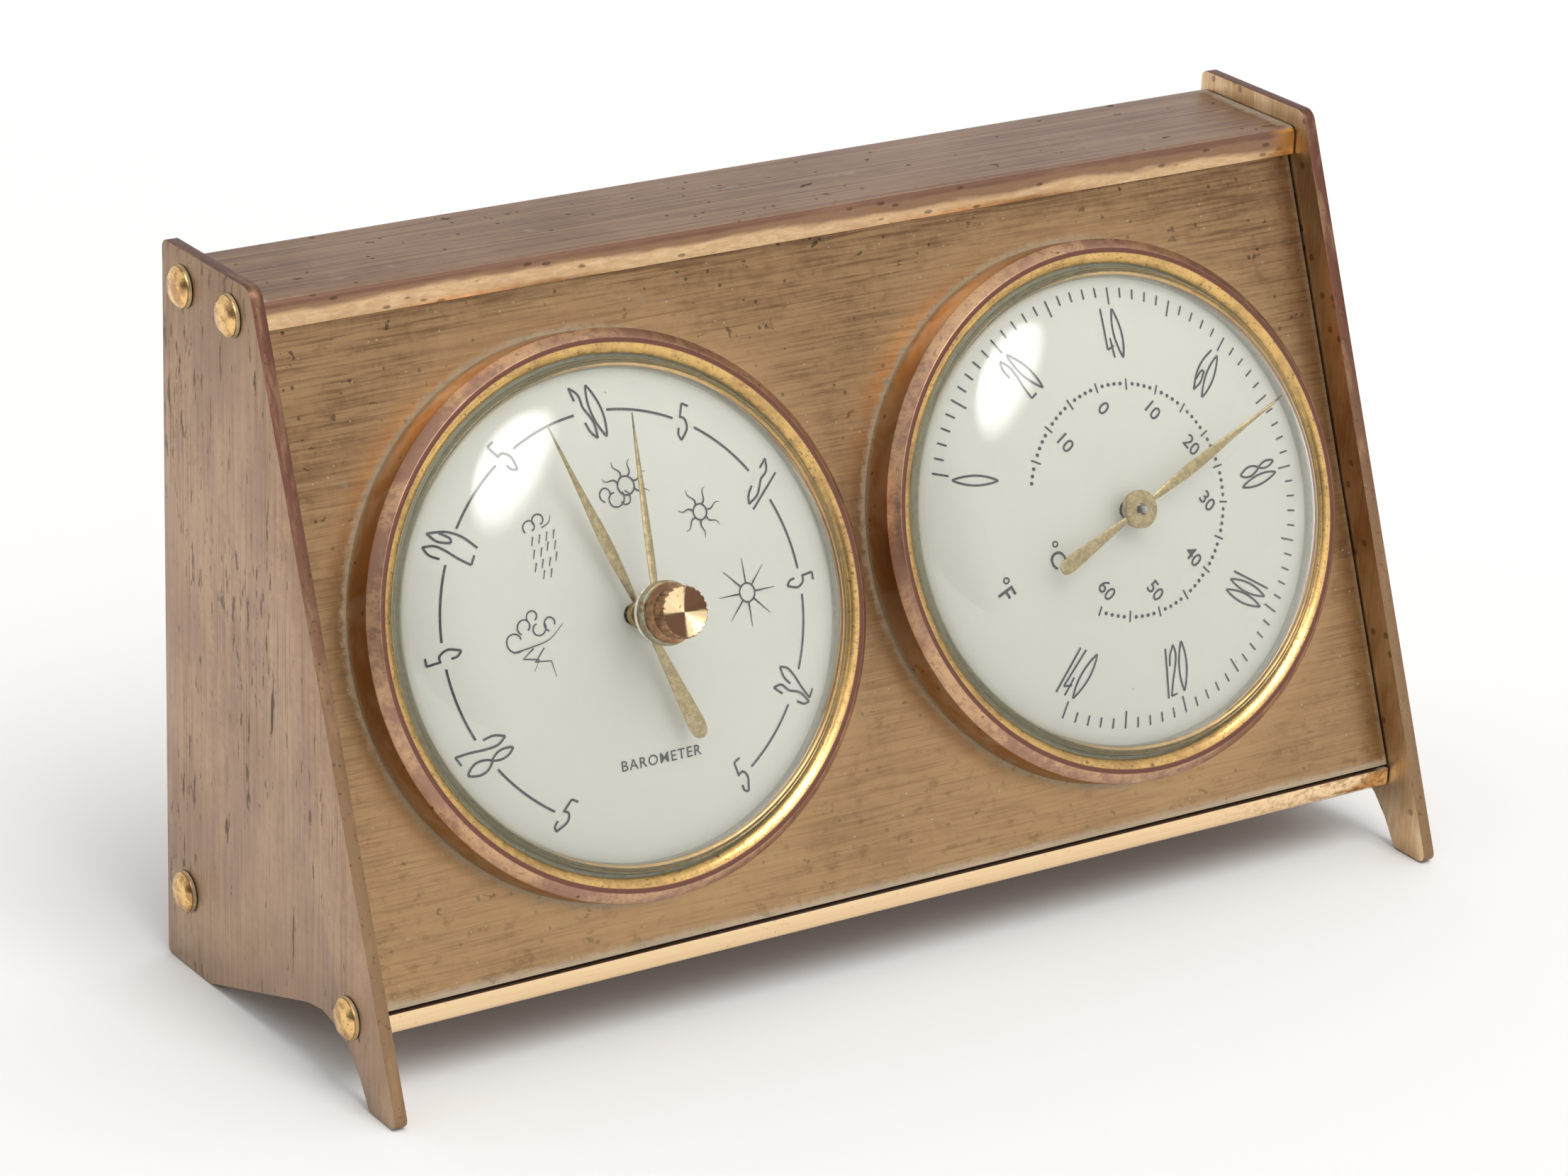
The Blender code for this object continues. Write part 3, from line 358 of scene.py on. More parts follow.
# ================================================================ folded case sheet
# One strip of 1 mm brass folded into top, back, floor and two front lips. The top has gone
# mauve brown; the lips are still polished, the upper one browned towards its right end.
def wrap_brass():
    f, tone, rough, height = brushed_brass("case_sheet_brass", (0.345, 0.228, 0.172), (0.262, 0.165, 0.128),
                                           (0.03, 2.2, 2.2), (0.16, 0.3, 0.3), 7.0, 0.42)
    x, y, z = f.axis(0), f.axis(1), f.axis(2)
    top_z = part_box("case_wrap")[1].z / MM
    pale = f.mask(f.noise((0.16, 0.35, 0.3), 3.0, 0.6, 52.0), 0.66, 0.72)
    tone = f.mix(pale * 0.5, tone, GREY_DUST)
    rear = f.mask(y, 30.5, 33.2) * f.mask(z, top_z - 1.5, top_z - 0.3)
    ends = f.mask(f.node("ShaderNodeMath", {"operation": "ABSOLUTE"}, {0: x}), 86.0, 90.3)
    rub = f.noise((0.35, 0.35, 0.35), 4.0, 0.65, 53.0)
    dust = f.mask((rear * 0.5 + ends * 0.8) + rub, 0.85, 1.25)
    tone = f.mix(dust * 0.55, tone, GREY_DUST)
    back = f.mask(y, 32.6, 33.0)
    tone = f.mix(back * 0.5, tone, (0.42, 0.28, 0.15))
    return f.wear(tone, rough + dust * 0.3, height, 0.010, 1.0 - dust * 0.55)


def upper_lip_brass():
    f = Finish("upper_lip_brass", Metallic=1.0)
    x, z = f.axis(0), f.axis(2)
    top_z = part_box("case_wrap")[1].z / MM
    rise = f.mask(z, top_z - 4.2, top_z - 0.4)
    wander = f.noise((0.045, 0.2, 0.2), 3.0, 0.6, 61.0)
    grain = f.noise((0.5, 2.0, 2.0), 4.0, 0.65, 62.0)
    tan = f.mix(f.mask(grain, 0.35, 0.7), (0.62, 0.40, 0.22), (0.78, 0.55, 0.32))
    rightward = f.mask(x, -75.0, 60.0)
    brown = f.mask((rise * 0.75 + rightward * 0.22) + (wander * 1.1 + grain * 0.35), 1.02, 1.32)
    tone = f.mix(brown * 0.85, tan, (0.25, 0.135, 0.088))
    red = f.mask(rise + wander * 0.5, 1.08, 1.25)
    tone = f.mix(red * 0.75, tone, (0.165, 0.082, 0.062))
    spot = f.specks((0.35, 0.9, 0.9), 0.32, 0.24, 63.0)
    tone = f.mix(spot * 0.6, tone, BLACK_STAIN)
    # Painted highlight: a bright orange patch at the upper lip's right end, by the cheek.
    painted_highlight = f.mask(x, 85.0, 90.0)
    tone = f.mix(painted_highlight * 0.7, tone, (0.70, 0.36, 0.10))
    return f.wear(tone, 0.20 + brown * 0.16 + grain * 0.08, grain - spot, 0.010)


def lower_lip_brass():
    f = Finish("lower_lip_brass", Metallic=1.0)
    x = f.axis(0)
    grain = f.noise((0.06, 2.0, 2.0), 4.0, 0.6, 71.0)
    fleck = f.noise((0.8, 1.4, 1.4), 4.0, 0.65, 72.0)
    tone = f.mix(grain, (0.86, 0.60, 0.33), (0.97, 0.76, 0.48))
    worn = f.mask(x, 48.0, 90.0) * f.mask(fleck, 0.44, 0.60)
    tone = f.mix(worn * 0.8, tone, (0.40, 0.22, 0.10))
    tone = f.mix(f.mask(fleck, 0.64, 0.72) * 0.55, tone, (0.36, 0.19, 0.10))
    return f.wear(tone, 0.16 + fleck * 0.10, grain + fleck * 0.4, 0.006)


wrap = eased("case_wrap", "case_sheet", 0.12, lambda e: e.calc_length() > 3 * MM)
for finish in (wrap_brass(), upper_lip_brass(), lower_lip_brass()):
    wrap.data.materials.append(finish)
wrap_low, wrap_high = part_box("case_wrap")
for polygon in wrap.data.polygons:
    if polygon.normal.y < -0.55 and polygon.center.y < 20 * MM:
        polygon.material_index = 1 if polygon.center.z > wrap_high.z / 2 else 2
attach(wrap, "case")
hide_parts("case_wrap")

# ================================================================ front panel
# A 1.2 mm brass panel slid behind both lips, brushed along its length. Fingers have
# spotted it and grey polish has dried along the lips and round the two dials.
dial_places = {}
for joint in frame["joints"]:
    if joint["name"] in ("pressure", "temperature"):
        dial_places[joint["name"]] = (Vector(joint["pos_m"]), -Vector(joint["axis"]))
outward = dial_places["pressure"][1].normalized()
up_slope = outward.cross(Vector((1, 0, 0))).normalized()
HAND_HEIGHTS = {"pressure": 10.95, "temperature": 11.5}


def dial_frame(joint):
    """Dial frame of the unit that a pointer turns in, its origin on the panel's face."""
    place, out = dial_places[joint]
    made = Matrix((Vector((1, 0, 0)), up_slope, outward)).transposed().to_4x4()
    made.translation = place - outward * HAND_HEIGHTS[joint] * MM
    return made @ Matrix.Scale(MM, 4)


BAROMETER, THERMOMETER = dial_frame("pressure"), dial_frame("temperature")


def round_dial(f, joint_frame):
    """Distance in millimetres from a dial's axis, measured along the panel."""
    middle = joint_frame.translation / MM
    across = f.axis(0) - middle.x
    climb = f.node("ShaderNodeVectorMath", {"operation": "DOT_PRODUCT"}, {0: f.place, 1: up_slope}, 1)
    rise = climb - middle.dot(up_slope)
    return f.node("ShaderNodeMath", {"operation": "SQRT"}, {0: across * across + rise * rise}), across, rise


def panel_brass():
    f, tone, rough, height = brushed_brass("panel_brass", (0.300, 0.178, 0.096), (0.190, 0.105, 0.056),
                                           (0.09, 2.6, 2.6), (0.30, 0.42, 0.42), 11.0, 0.36)
    z = f.axis(2)
    # Painted reflection: the panel is lighter and warmer towards its bottom edge.
    lower_reflection_paint = f.mask(z, 70.0, 14.0)
    tone = f.mix(lower_reflection_paint * 0.40, tone, (0.52, 0.34, 0.17))
    blotch = f.noise((0.34, 0.5, 0.5), 4.0, 0.62, 12.0)
    tone = f.mix(f.mask(blotch, 0.54, 0.70) * 0.45, tone, (0.20, 0.11, 0.055))
    left, lx, ly = round_dial(f, BAROMETER)
    right, rx, ry = round_dial(f, THERMOMETER)
    near = f.node("ShaderNodeMath", {"operation": "MINIMUM"}, {0: left, 1: right})
    # Painted highlight: a lighter, warmer ring on the panel just outside each bezel.
    painted_highlight = f.mask(near, 50.0, 41.0)
    tone = f.mix(painted_highlight * 0.34, tone, (0.60, 0.39, 0.20))
    ragged = f.noise((0.9, 0.9, 0.9), 4.0, 0.7, 81.0)
    crust = f.mask(near - ragged * 2.6, 41.2, 39.6)
    rise = f.axis(2)
    low_z, high_z = (v.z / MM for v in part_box("front_panel"))
    edge = f.mask(rise - ragged * 1.6, low_z + 1.2, low_z - 0.2)
    side = f.mask(f.node("ShaderNodeMath", {"operation": "ABSOLUTE"}, {0: f.axis(0)}) + ragged * 1.5, 89.6, 91.2)
    lint = f.specks((0.8, 0.8, 0.8), 0.15, 0.20, 82.0)
    dust = f.mask(crust * 0.75 + edge * 0.8 + side * 0.5 + lint * 0.9, 0.0, 1.0)
    tone = f.mix(dust * 0.55, tone, (0.50, 0.46, 0.36))
    green = f.mask(near, 50.0, 42.0) * f.mask(f.noise((0.5, 0.5, 0.5), 3.0, 0.6, 83.0), 0.66, 0.72)
    tone = f.mix(green * 0.6, tone, (0.27, 0.27, 0.22))
    return f.wear(tone, rough + dust * 0.28, height + dust * 0.4, 0.012, 1.0 - dust * 0.5)


panel = frame["nodes"]["front_panel"]
panel.data.materials.clear()
panel.data.materials.append(panel_brass())


# ================================================================ cap nuts
# Eight turned brass cap nuts screw on to the rod studs and clamp the cheeks. Each has a thin
# rolled rim and a shallow turned cone in its face; green grime sits under the rim.
def turned_body(name, outline, joint_frame, steps=96, smooth=0.6):
    """Spin a (radius, height) outline in millimetres about a frame's z axis."""
    bm = bmesh.new()
    verts = [bm.verts.new((r, 0, h)) for r, h in outline]
    edges = [bm.edges.new((verts[i], verts[(i + 1) % len(verts)])) for i in range(len(verts))]
    edges = [e for e in edges if max(abs(v.co.x) for v in e.verts) > 1e-9]
    bmesh.ops.spin(bm, geom=edges + verts, cent=(0, 0, 0), axis=(0, 0, 1), angle=2 * math.pi,
                   steps=steps, use_merge=True)
    bmesh.ops.remove_doubles(bm, verts=bm.verts, dist=1e-5)
    bmesh.ops.dissolve_degenerate(bm, edges=bm.edges, dist=1e-6)
    bmesh.ops.recalc_face_normals(bm, faces=bm.faces)
    return finish_mesh(bm, name, joint_frame, smooth)


def nut_brass():
    f = Finish("nut_brass", Metallic=1.0)
    cloud = f.noise((0.45, 0.45, 0.45), 3.0, 0.6, 91.0)
    fleck = f.noise((2.2, 2.2, 2.2), 3.0, 0.6, 92.0)
    tone = f.mix(f.mask(cloud, 0.42, 0.60), (0.88, 0.58, 0.24), (0.52, 0.30, 0.14))
    tone = f.mix(f.mask(fleck, 0.58, 0.70) * 0.7, tone, (0.14, 0.075, 0.045))
    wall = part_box("left_cheek")[1].x
    x = f.node("ShaderNodeMath", {"operation": "ABSOLUTE"}, {0: f.axis(0)})
    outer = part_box("right_cheek")[1].x / MM
    foot = f.mask(x + fleck * 0.3, outer + 0.85, outer + 0.45)
    tone = f.mix(foot * 0.65, tone, (0.30, 0.29, 0.20))
    return f.wear(tone, 0.16 + fleck * 0.14 + foot * 0.3, fleck + cloud, 0.02, 1.0 - foot * 0.5)


nut_finish = nut_brass()
for rod, spot in rods.items():
    for side, label in ((-1, "left"), (1, "right")):
        node = f"cap_nut_{rod[8:]}_{label}"
        low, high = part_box(node)
        reach, seat = (high.z - low.z) / 2 / MM, (low.x if side > 0 else high.x)
        tall = (high.x - low.x) / MM
        stand = Matrix.Translation((seat, (low.y + high.y) / 2, (low.z + high.z) / 2)) @ (
            Matrix.Rotation(side * math.pi / 2, 4, "Y")) @ Matrix.Scale(MM, 4)
        body = reach - 0.2
        nut = turned_body(f"nut_{rod[8:]}_{label}", [
            (1.1, 0.0), (reach - 0.05, 0.0), (reach, 0.06), (reach - 0.08, 0.22), (body + 0.04, 0.32),
            (body, 0.42), (body, 0.66), (body - 0.08, 0.76), (body - 0.78, tall - 0.24), (body - 0.88, tall - 0.18),
            (0.4, tall), (0.0, tall), (0.0, 1.1), (1.1, 1.1)], stand, 64, 0.5)
        nut.data.materials.append(nut_finish)
        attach(nut, "case")
        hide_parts(node)

# ================================================================ movements inside the cans
# Pressed steel cans with blued springs, brass plates and steel arbors. They are out of sight
# behind the dials, so the working parts keep their machined shapes and get plain finishes.
movement_steel = plain_steel("movement_steel", (0.50, 0.50, 0.52), 101.0)
can_steel = plain_steel("can_steel", (0.36, 0.35, 0.34), 103.0)
blue_steel = plain_steel("blued_steel", (0.07, 0.09, 0.20), 105.0)


def movement_brass():
    f = Finish("movement_brass", Metallic=1.0)
    grain = f.noise((0.2, 3.0, 3.0), 3.0, 0.6, 107.0)
    cloud = f.noise((0.25, 0.25, 0.25), 3.0, 0.6, 108.0)
    tone = f.mix(f.mask(cloud, 0.4, 0.7), (0.74, 0.52, 0.24), (0.55, 0.36, 0.17))
    return f.wear(tone, 0.24 + grain * 0.18, grain, 0.006)


def nickel_sheet():
    f = Finish("capsule_nickel", Metallic=1.0)
    cloud = f.noise((0.3, 0.3, 0.3), 3.0, 0.6, 110.0)
    tone = f.mix(cloud, (0.56, 0.54, 0.48), (0.70, 0.68, 0.62))
    return f.wear(tone, 0.22 + cloud * 0.2, cloud, 0.02)


inside_brass, capsule_nickel = movement_brass(), nickel_sheet()
INSIDE = {
    can_steel: ("barometer_can", "thermometer_can"),
    movement_steel: ("main_spring", "rocking_shaft", "pointer_arbor", "thermometer_staff"),
    blue_steel: ("hairspring", "bimetal_coil"),
    capsule_nickel: ("aneroid_capsule",),
    inside_brass: ("movement_base", "upper_plate", "train_bridge", "toothed_sector", "zero_screw",
                   "staff_cage", "dial_bridge", "calibration_lever")}
for finish, names in INSIDE.items():
    for name in names:
        frame["nodes"][name].data.materials.clear()
        frame["nodes"][name].data.materials.append(finish)


# ================================================================ dials
# Thin steel discs pressed to a slight dome and sprayed cream. The scale is screen printed
# in soft black ink, which has thinned and broken up in places.
DIAL_R, DIAL_TOP, DIAL_EDGE, DIAL_HOLE = 35.3, 8.4, 5.0, 1.5
DIAL_BALL = (DIAL_R ** 2 + (DIAL_TOP - DIAL_EDGE) ** 2) / (2 * (DIAL_TOP - DIAL_EDGE))


def dial_height(radius):
    return DIAL_TOP - DIAL_BALL + math.sqrt(DIAL_BALL ** 2 - min(radius, DIAL_R) ** 2)


def cream_enamel():
    f = Finish("cream_enamel", Metallic=0.0, Roughness=0.42)
    cloud = f.noise((0.03, 0.03, 0.03), 3.0, 0.5, 121.0)
    stipple = f.noise((1.5, 1.5, 1.5), 2.0, 0.5, 122.0)
    tone = f.mix(cloud, (0.895, 0.885, 0.800), (0.940, 0.930, 0.855))
    speck = f.specks((0.16, 0.16, 0.16), 0.035, 0.30, 123.0)
    tone = f.mix(speck * 0.6, tone, (0.45, 0.30, 0.16))
    return f.wear(tone, 0.38 + stipple * 0.1, stipple, 0.002)


def printing_ink():
    f = Finish("printing_ink", Metallic=0.0)
    thin = f.noise((2.8, 2.8, 2.8), 3.0, 0.65, 125.0)
    tone = f.mix(f.mask(thin, 0.52, 0.72), (0.055, 0.058, 0.065), (0.22, 0.22, 0.22))
    return f.wear(tone, 0.45 + thin * 0.2)


enamel, ink = cream_enamel(), printing_ink()
for label, joint_frame in (("barometer", BAROMETER), ("thermometer", THERMOMETER)):
    rings = [DIAL_HOLE + (DIAL_R - DIAL_HOLE) * k / 24 for k in range(25)]
    outline = [(r, dial_height(r)) for r in rings] + [(r, dial_height(r) - 0.5) for r in reversed(rings)]
    disc = turned_body(f"{label}_dial_plate", outline, joint_frame, 128, 0.6)
    disc.data.materials.append(enamel)
    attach(disc, "case")
    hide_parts(f"{label}_dial")


# ---------------------------------------------------------------- strokes of ink
def smooth_line(points, closed=False, per=6):
    """Catmull-Rom curve through a few chosen points."""
    if len(points) < 3:
        first, last = (Vector(p) for p in points)
        return [first.lerp(last, k / per) for k in range(per + 1)]
    pts = [Vector(p) for p in points]
    ends = [pts[-1]] + pts + [pts[0], pts[1]] if closed else [2 * pts[0] - pts[1]] + pts + [2 * pts[-1] - pts[-2]]
    out = []
    for i in range(1, len(ends) - 2):
        a, b, c, d = ends[i - 1:i + 3]
        for k in range(per):
            t = k / per
            out.append(0.5 * (2 * b + (c - a) * t + (2 * a - 5 * b + 4 * c - d) * t * t
                              + (3 * b - a - 3 * c + d) * t ** 3))
    out.append(pts[0] if closed else pts[-1])
    return out


def stroke(bm, points, width, narrow=None):
    """A flat line of ink laid on the dial; narrow is its width at the far end."""
    points = [Vector(p) for p in points]
    n = len(points)
    left, right = [], []
    for i, p in enumerate(points):
        ahead = points[min(i + 1, n - 1)] - points[max(i - 1, 0)]
        if ahead.length < 1e-9:
            ahead = Vector((0, 1))
        if 0 < i < n - 1:
            first, second = (p - points[i - 1]), (points[i + 1] - p)
            bend = max(0.45, math.cos(first.angle(second, 0.0) / 2))
        else:
            bend = 1.0
        aside = Vector((-ahead.y, ahead.x)).normalized()
        wide = width if narrow is None else width + (narrow - width) * i / (n - 1)
        for row, sign in ((left, 1), (right, -1)):
            q = p + aside * sign * wide / 2 / bend
            row.append(bm.verts.new((q.x, q.y, dial_height(q.length) + 0.05)))
    for i in range(n - 1):
        bm.faces.new((right[i], right[i + 1], left[i + 1], left[i]))


def lens(cx, cy, wide, tall):
    """A pointed oval: two bowed lines that meet in sharp ends."""
    steps = [k / 10 for k in range(11)]
    return [[(cx + s * wide / 2 * math.sin(math.pi * t) ** 0.85, cy + tall * (0.5 - t)) for t in steps]
            for s in (-1, 1)]


# Each figure in a box one wide and one tall: lists of smooth strokes that join at sharp corners.
FIGURES = {
    "0": lens(0.5, 0.5, 0.95, 1.0),
    "1": [[(0.5, 0.0), (0.5, 1.0)]],
    "2": [[(0.02, 0.62), (0.15, 0.83), (0.62, 1.0)],
          [(0.62, 1.0), (0.86, 0.80), (0.70, 0.58), (0.30, 0.30), (0.0, 0.02)], [(0.0, 0.02), (0.72, 0.02)]],
    "3": [[(0.12, 0.74), (0.10, 1.0)], [(0.10, 1.0), (0.62, 0.84), (0.60, 0.60)],
          [(0.60, 0.60), (0.98, 0.30), (0.82, 0.0)], [(0.82, 0.0), (0.45, 0.12), (0.28, 0.32)]],
    "4": [[(0.30, 1.0), (0.05, 0.16)], [(0.05, 0.16), (0.85, 0.24)], [(0.62, 0.40), (0.66, 0.0)]],
    "5": [[(0.85, 1.0), (0.22, 1.0)], [(0.22, 1.0), (0.14, 0.58)], [(0.14, 0.62), (0.62, 0.60), (0.86, 0.36),
          (0.42, 0.0)], [(0.42, 0.0), (0.10, 0.12), (0.08, 0.30)]],
    "6": [[(0.80, 1.0), (0.22, 0.66), (0.08, 0.34), (0.42, 0.0)], [(0.42, 0.0), (0.86, 0.24), (0.80, 0.50)],
          [(0.80, 0.50), (0.46, 0.44), (0.24, 0.22)]],
    "8": lens(0.5, 0.76, 0.62, 0.46) + lens(0.5, 0.27, 0.92, 0.54),
    "9": [[(0.20, 0.0), (0.78, 0.34), (0.92, 0.66), (0.58, 1.0)], [(0.58, 1.0), (0.14, 0.76), (0.20, 0.50)],
          [(0.20, 0.50), (0.54, 0.56), (0.76, 0.78)]]}


def numeral(bm, text, angle, radius, wide, tall, lean=-9.0, flipped=False, gap=0.5, width=0.27, advance=None):
    """Tall thin figures on the scale, tops outward, or inward where flipped; angle is clockwise."""
    run = [0.45 * wide if c == "1" else wide for c in text]
    total = sum(run) + gap * (len(text) - 1)
    turn = -math.radians(angle + (180 if flipped else 0))
    slant = -math.radians(lean)
    middle = Vector((math.sin(math.radians(angle)), math.cos(math.radians(angle)))) * radius
    cursor = -total / 2
    for figure, room in zip(text, run):
        for line in FIGURES[figure]:
            pts = []
            for px, py in smooth_line(line):
                q = Vector((cursor + px * room, (py - 0.5) * tall))
                q = Vector((q.x - q.y * math.tan(slant), q.y))
                q.rotate(Matrix.Rotation(turn, 2))
                pts.append(middle + q)
            stroke(bm, pts, width)
        cursor += room + gap


def arc(radius, start, stop, steps=24):
    """Points along a circle about the dial's axis, in degrees clockwise from the top."""
    return [(radius * math.sin(math.radians(start + (stop - start) * k / steps)),
             radius * math.cos(math.radians(start + (stop - start) * k / steps))) for k in range(steps + 1)]


def lettering(text, place, size, turn=0.0, weight=0.0):
    """Plain upright capitals and figures as a flat mesh, in dial millimetres."""
    curve = bpy.data.curves.new("lettering", "FONT")
    curve.body, curve.size, curve.offset = text, size, weight
    curve.align_x, curve.align_y = "CENTER", "CENTER"
    curve.resolution_u, curve.space_character = 3, 1.14 if len(text) > 3 else 1.0
    holder = bpy.data.objects.new("lettering", curve)
    bpy.context.scene.collection.objects.link(holder)
    bpy.context.view_layer.update()
    mesh = bpy.data.meshes.new_from_object(holder.evaluated_get(bpy.context.evaluated_depsgraph_get()))
    bpy.data.objects.remove(holder)
    mesh.transform(Matrix.Translation((place[0], place[1], 0)) @ Matrix.Rotation(-math.radians(turn), 4, "Z"))
    for vertex in mesh.vertices:
        vertex.co.z = dial_height(vertex.co.to_2d().length) + 0.06
    return mesh


def add_lettering(bm, *words):
    for text, place, size, turn, weight in words:
        mesh = lettering(text, place, size, turn, weight)
        bm.from_mesh(mesh)
        bpy.data.meshes.remove(mesh)


def print_dial(bm, name, joint_frame, rise):
    """Ink rides with the case as a piece of its own; rise is how far the print is off centre."""
    for vertex in bm.verts:
        vertex.co.y += rise
        vertex.co.z = dial_height(vertex.co.to_2d().length) + 0.08
    up = [f for f in bm.faces if f.normal.z < 0]
    bmesh.ops.reverse_faces(bm, faces=up)
    made = finish_mesh(bm, name, joint_frame)
    made.data.materials.append(ink)
    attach(made, "case")
    return made


# ---------------------------------------------------------------- barometer print
# A broken ring reads 27.5 to 32.5 inches of mercury, with the half inches marked 5,
# and five small weather signs inside it run from storm to settled sun.
SCALE_R = 29.5
bm = bmesh.new()
SCALE = [("5", -150, 1.8, 5.0, True), ("28", -120, 2.1, 7.7, True), ("5", -90, 1.8, 5.4, False),
         ("29", -60, 2.0, 7.7, False), ("5", -30, 1.8, 5.2, False), ("30", 0, 1.9, 7.7, False),
         ("5", 30, 1.8, 5.2, False), ("31", 60, 2.2, 7.0, False), ("5", 90, 1.8, 5.0, False),
         ("32", 120, 2.0, 7.0, True), ("5", 150, 1.8, 5.0, True)]
for k, (text, angle, wide, tall, flipped) in enumerate(SCALE):
    numeral(bm, text, angle, SCALE_R, wide, tall, 9.0 if flipped else -10.0, flipped, 0.15, 0.34)
    if k + 1 < len(SCALE):
        room = 5.2 if len(text) > 1 else 3.6
        next_room = 5.2 if len(SCALE[k + 1][0]) > 1 else 3.6
        stroke(bm, arc(SCALE_R, angle + room, angle + 30 - next_room), 0.36)


def sun(bm, x, y, ring, reach, rays, wave, skip=()):
    """A ring with rays: straight and tapering, or wavy."""
    stroke(bm, [(x + ring * math.sin(a * math.pi / 12), y + ring * math.cos(a * math.pi / 12))
                for a in range(25)], 0.26)
    for k in range(rays):
        if k in skip:
            continue
        a = 2 * math.pi * (k + 0.5 * (wave > 0)) / rays
        along, aside = Vector((math.sin(a), math.cos(a))), Vector((math.cos(a), -math.sin(a)))
        pts = [Vector((x, y)) + along * (ring + (reach - ring) * t / 10)
               + aside * wave * math.sin(t / 10 * 2 * math.pi) for t in range(11)]
        stroke(bm, pts, 0.30, 0.07)


def curl(bm, x, y, size, start, sweep, inward=0.45):
    """A cloud's curl: an arc that winds in at its end."""
    pts = []
    for k in range(19):
        t = k / 18
        r = size * (1 - inward * max(0.0, t - 0.55) / 0.45)
        a = math.radians(start + sweep * t)
        pts.append((x + r * math.sin(a), y + r * math.cos(a)))
    stroke(bm, pts, 0.22)


sun(bm, 19.66, 0.08, 1.35, 5.0, 8, 0.0)
sun(bm, 14.13, 12.7, 1.15, 3.75, 7, 0.26)
sun(bm, 2.9, 18.4, 1.35, 3.9, 8, 0.26, skip=(3, 4, 5))
for x, y, size, start, sweep in ((-0.6, 17.6, 1.0, 200, 300), (0.9, 17.0, 1.35, 60, 290), (2.1, 16.7, 1.1, 20, 210)):
    curl(bm, x, y, size, start, sweep)
for x, y, size, start, sweep in ((-13.4, 15.2, 1.0, 230, 280), (-11.9, 15.9, 0.95, 250, 270)):
    curl(bm, x, y, size, start, sweep)
stroke(bm, smooth_line([(-11.6, 14.9), (-10.4, 15.4), (-9.9, 16.4)]), 0.2, 0.07)
random.seed(5)
for row in range(4):
    for column in range(4):
        x = -13.2 + column * 1.15 - row * 0.12
        y = 14.2 - row * 1.75 - random.uniform(0, 0.5) + column * 0.2
        if row < 3 or column in (1, 2):
            stroke(bm, [(x, y), (x - 0.42, y - 1.25)], 0.20, 0.14)
for x, y, size, start, sweep in ((-18.6, -0.1, 1.45, 160, 270), (-17.0, 1.7, 1.1, 215, 285), (-15.6, 2.9, 0.9, 235, 270),
                                 (-14.9, 1.3, 1.1, 60, 280), (-13.0, 1.5, 1.0, 200, 270)):
    curl(bm, x, y, size, start, sweep)
stroke(bm, smooth_line([(-19.3, -1.5), (-16.6, -1.2), (-13.6, -0.6), (-11.2, 1.2)]), 0.24, 0.09)
for line in ([(-16.2, -1.4), (-18.0, -2.6), (-15.6, -3.1), (-16.6, -4.6)],
             [(-14.6, -1.6), (-16.2, -3.3), (-13.8, -3.6), (-13.4, -5.9)]):
    stroke(bm, line, 0.24, 0.08)
add_lettering(bm, ("BAROMETER", (1.3, -20.45), 2.15, 0.0, 0.01))
print_dial(bm, "barometer_print", BAROMETER, -0.4)


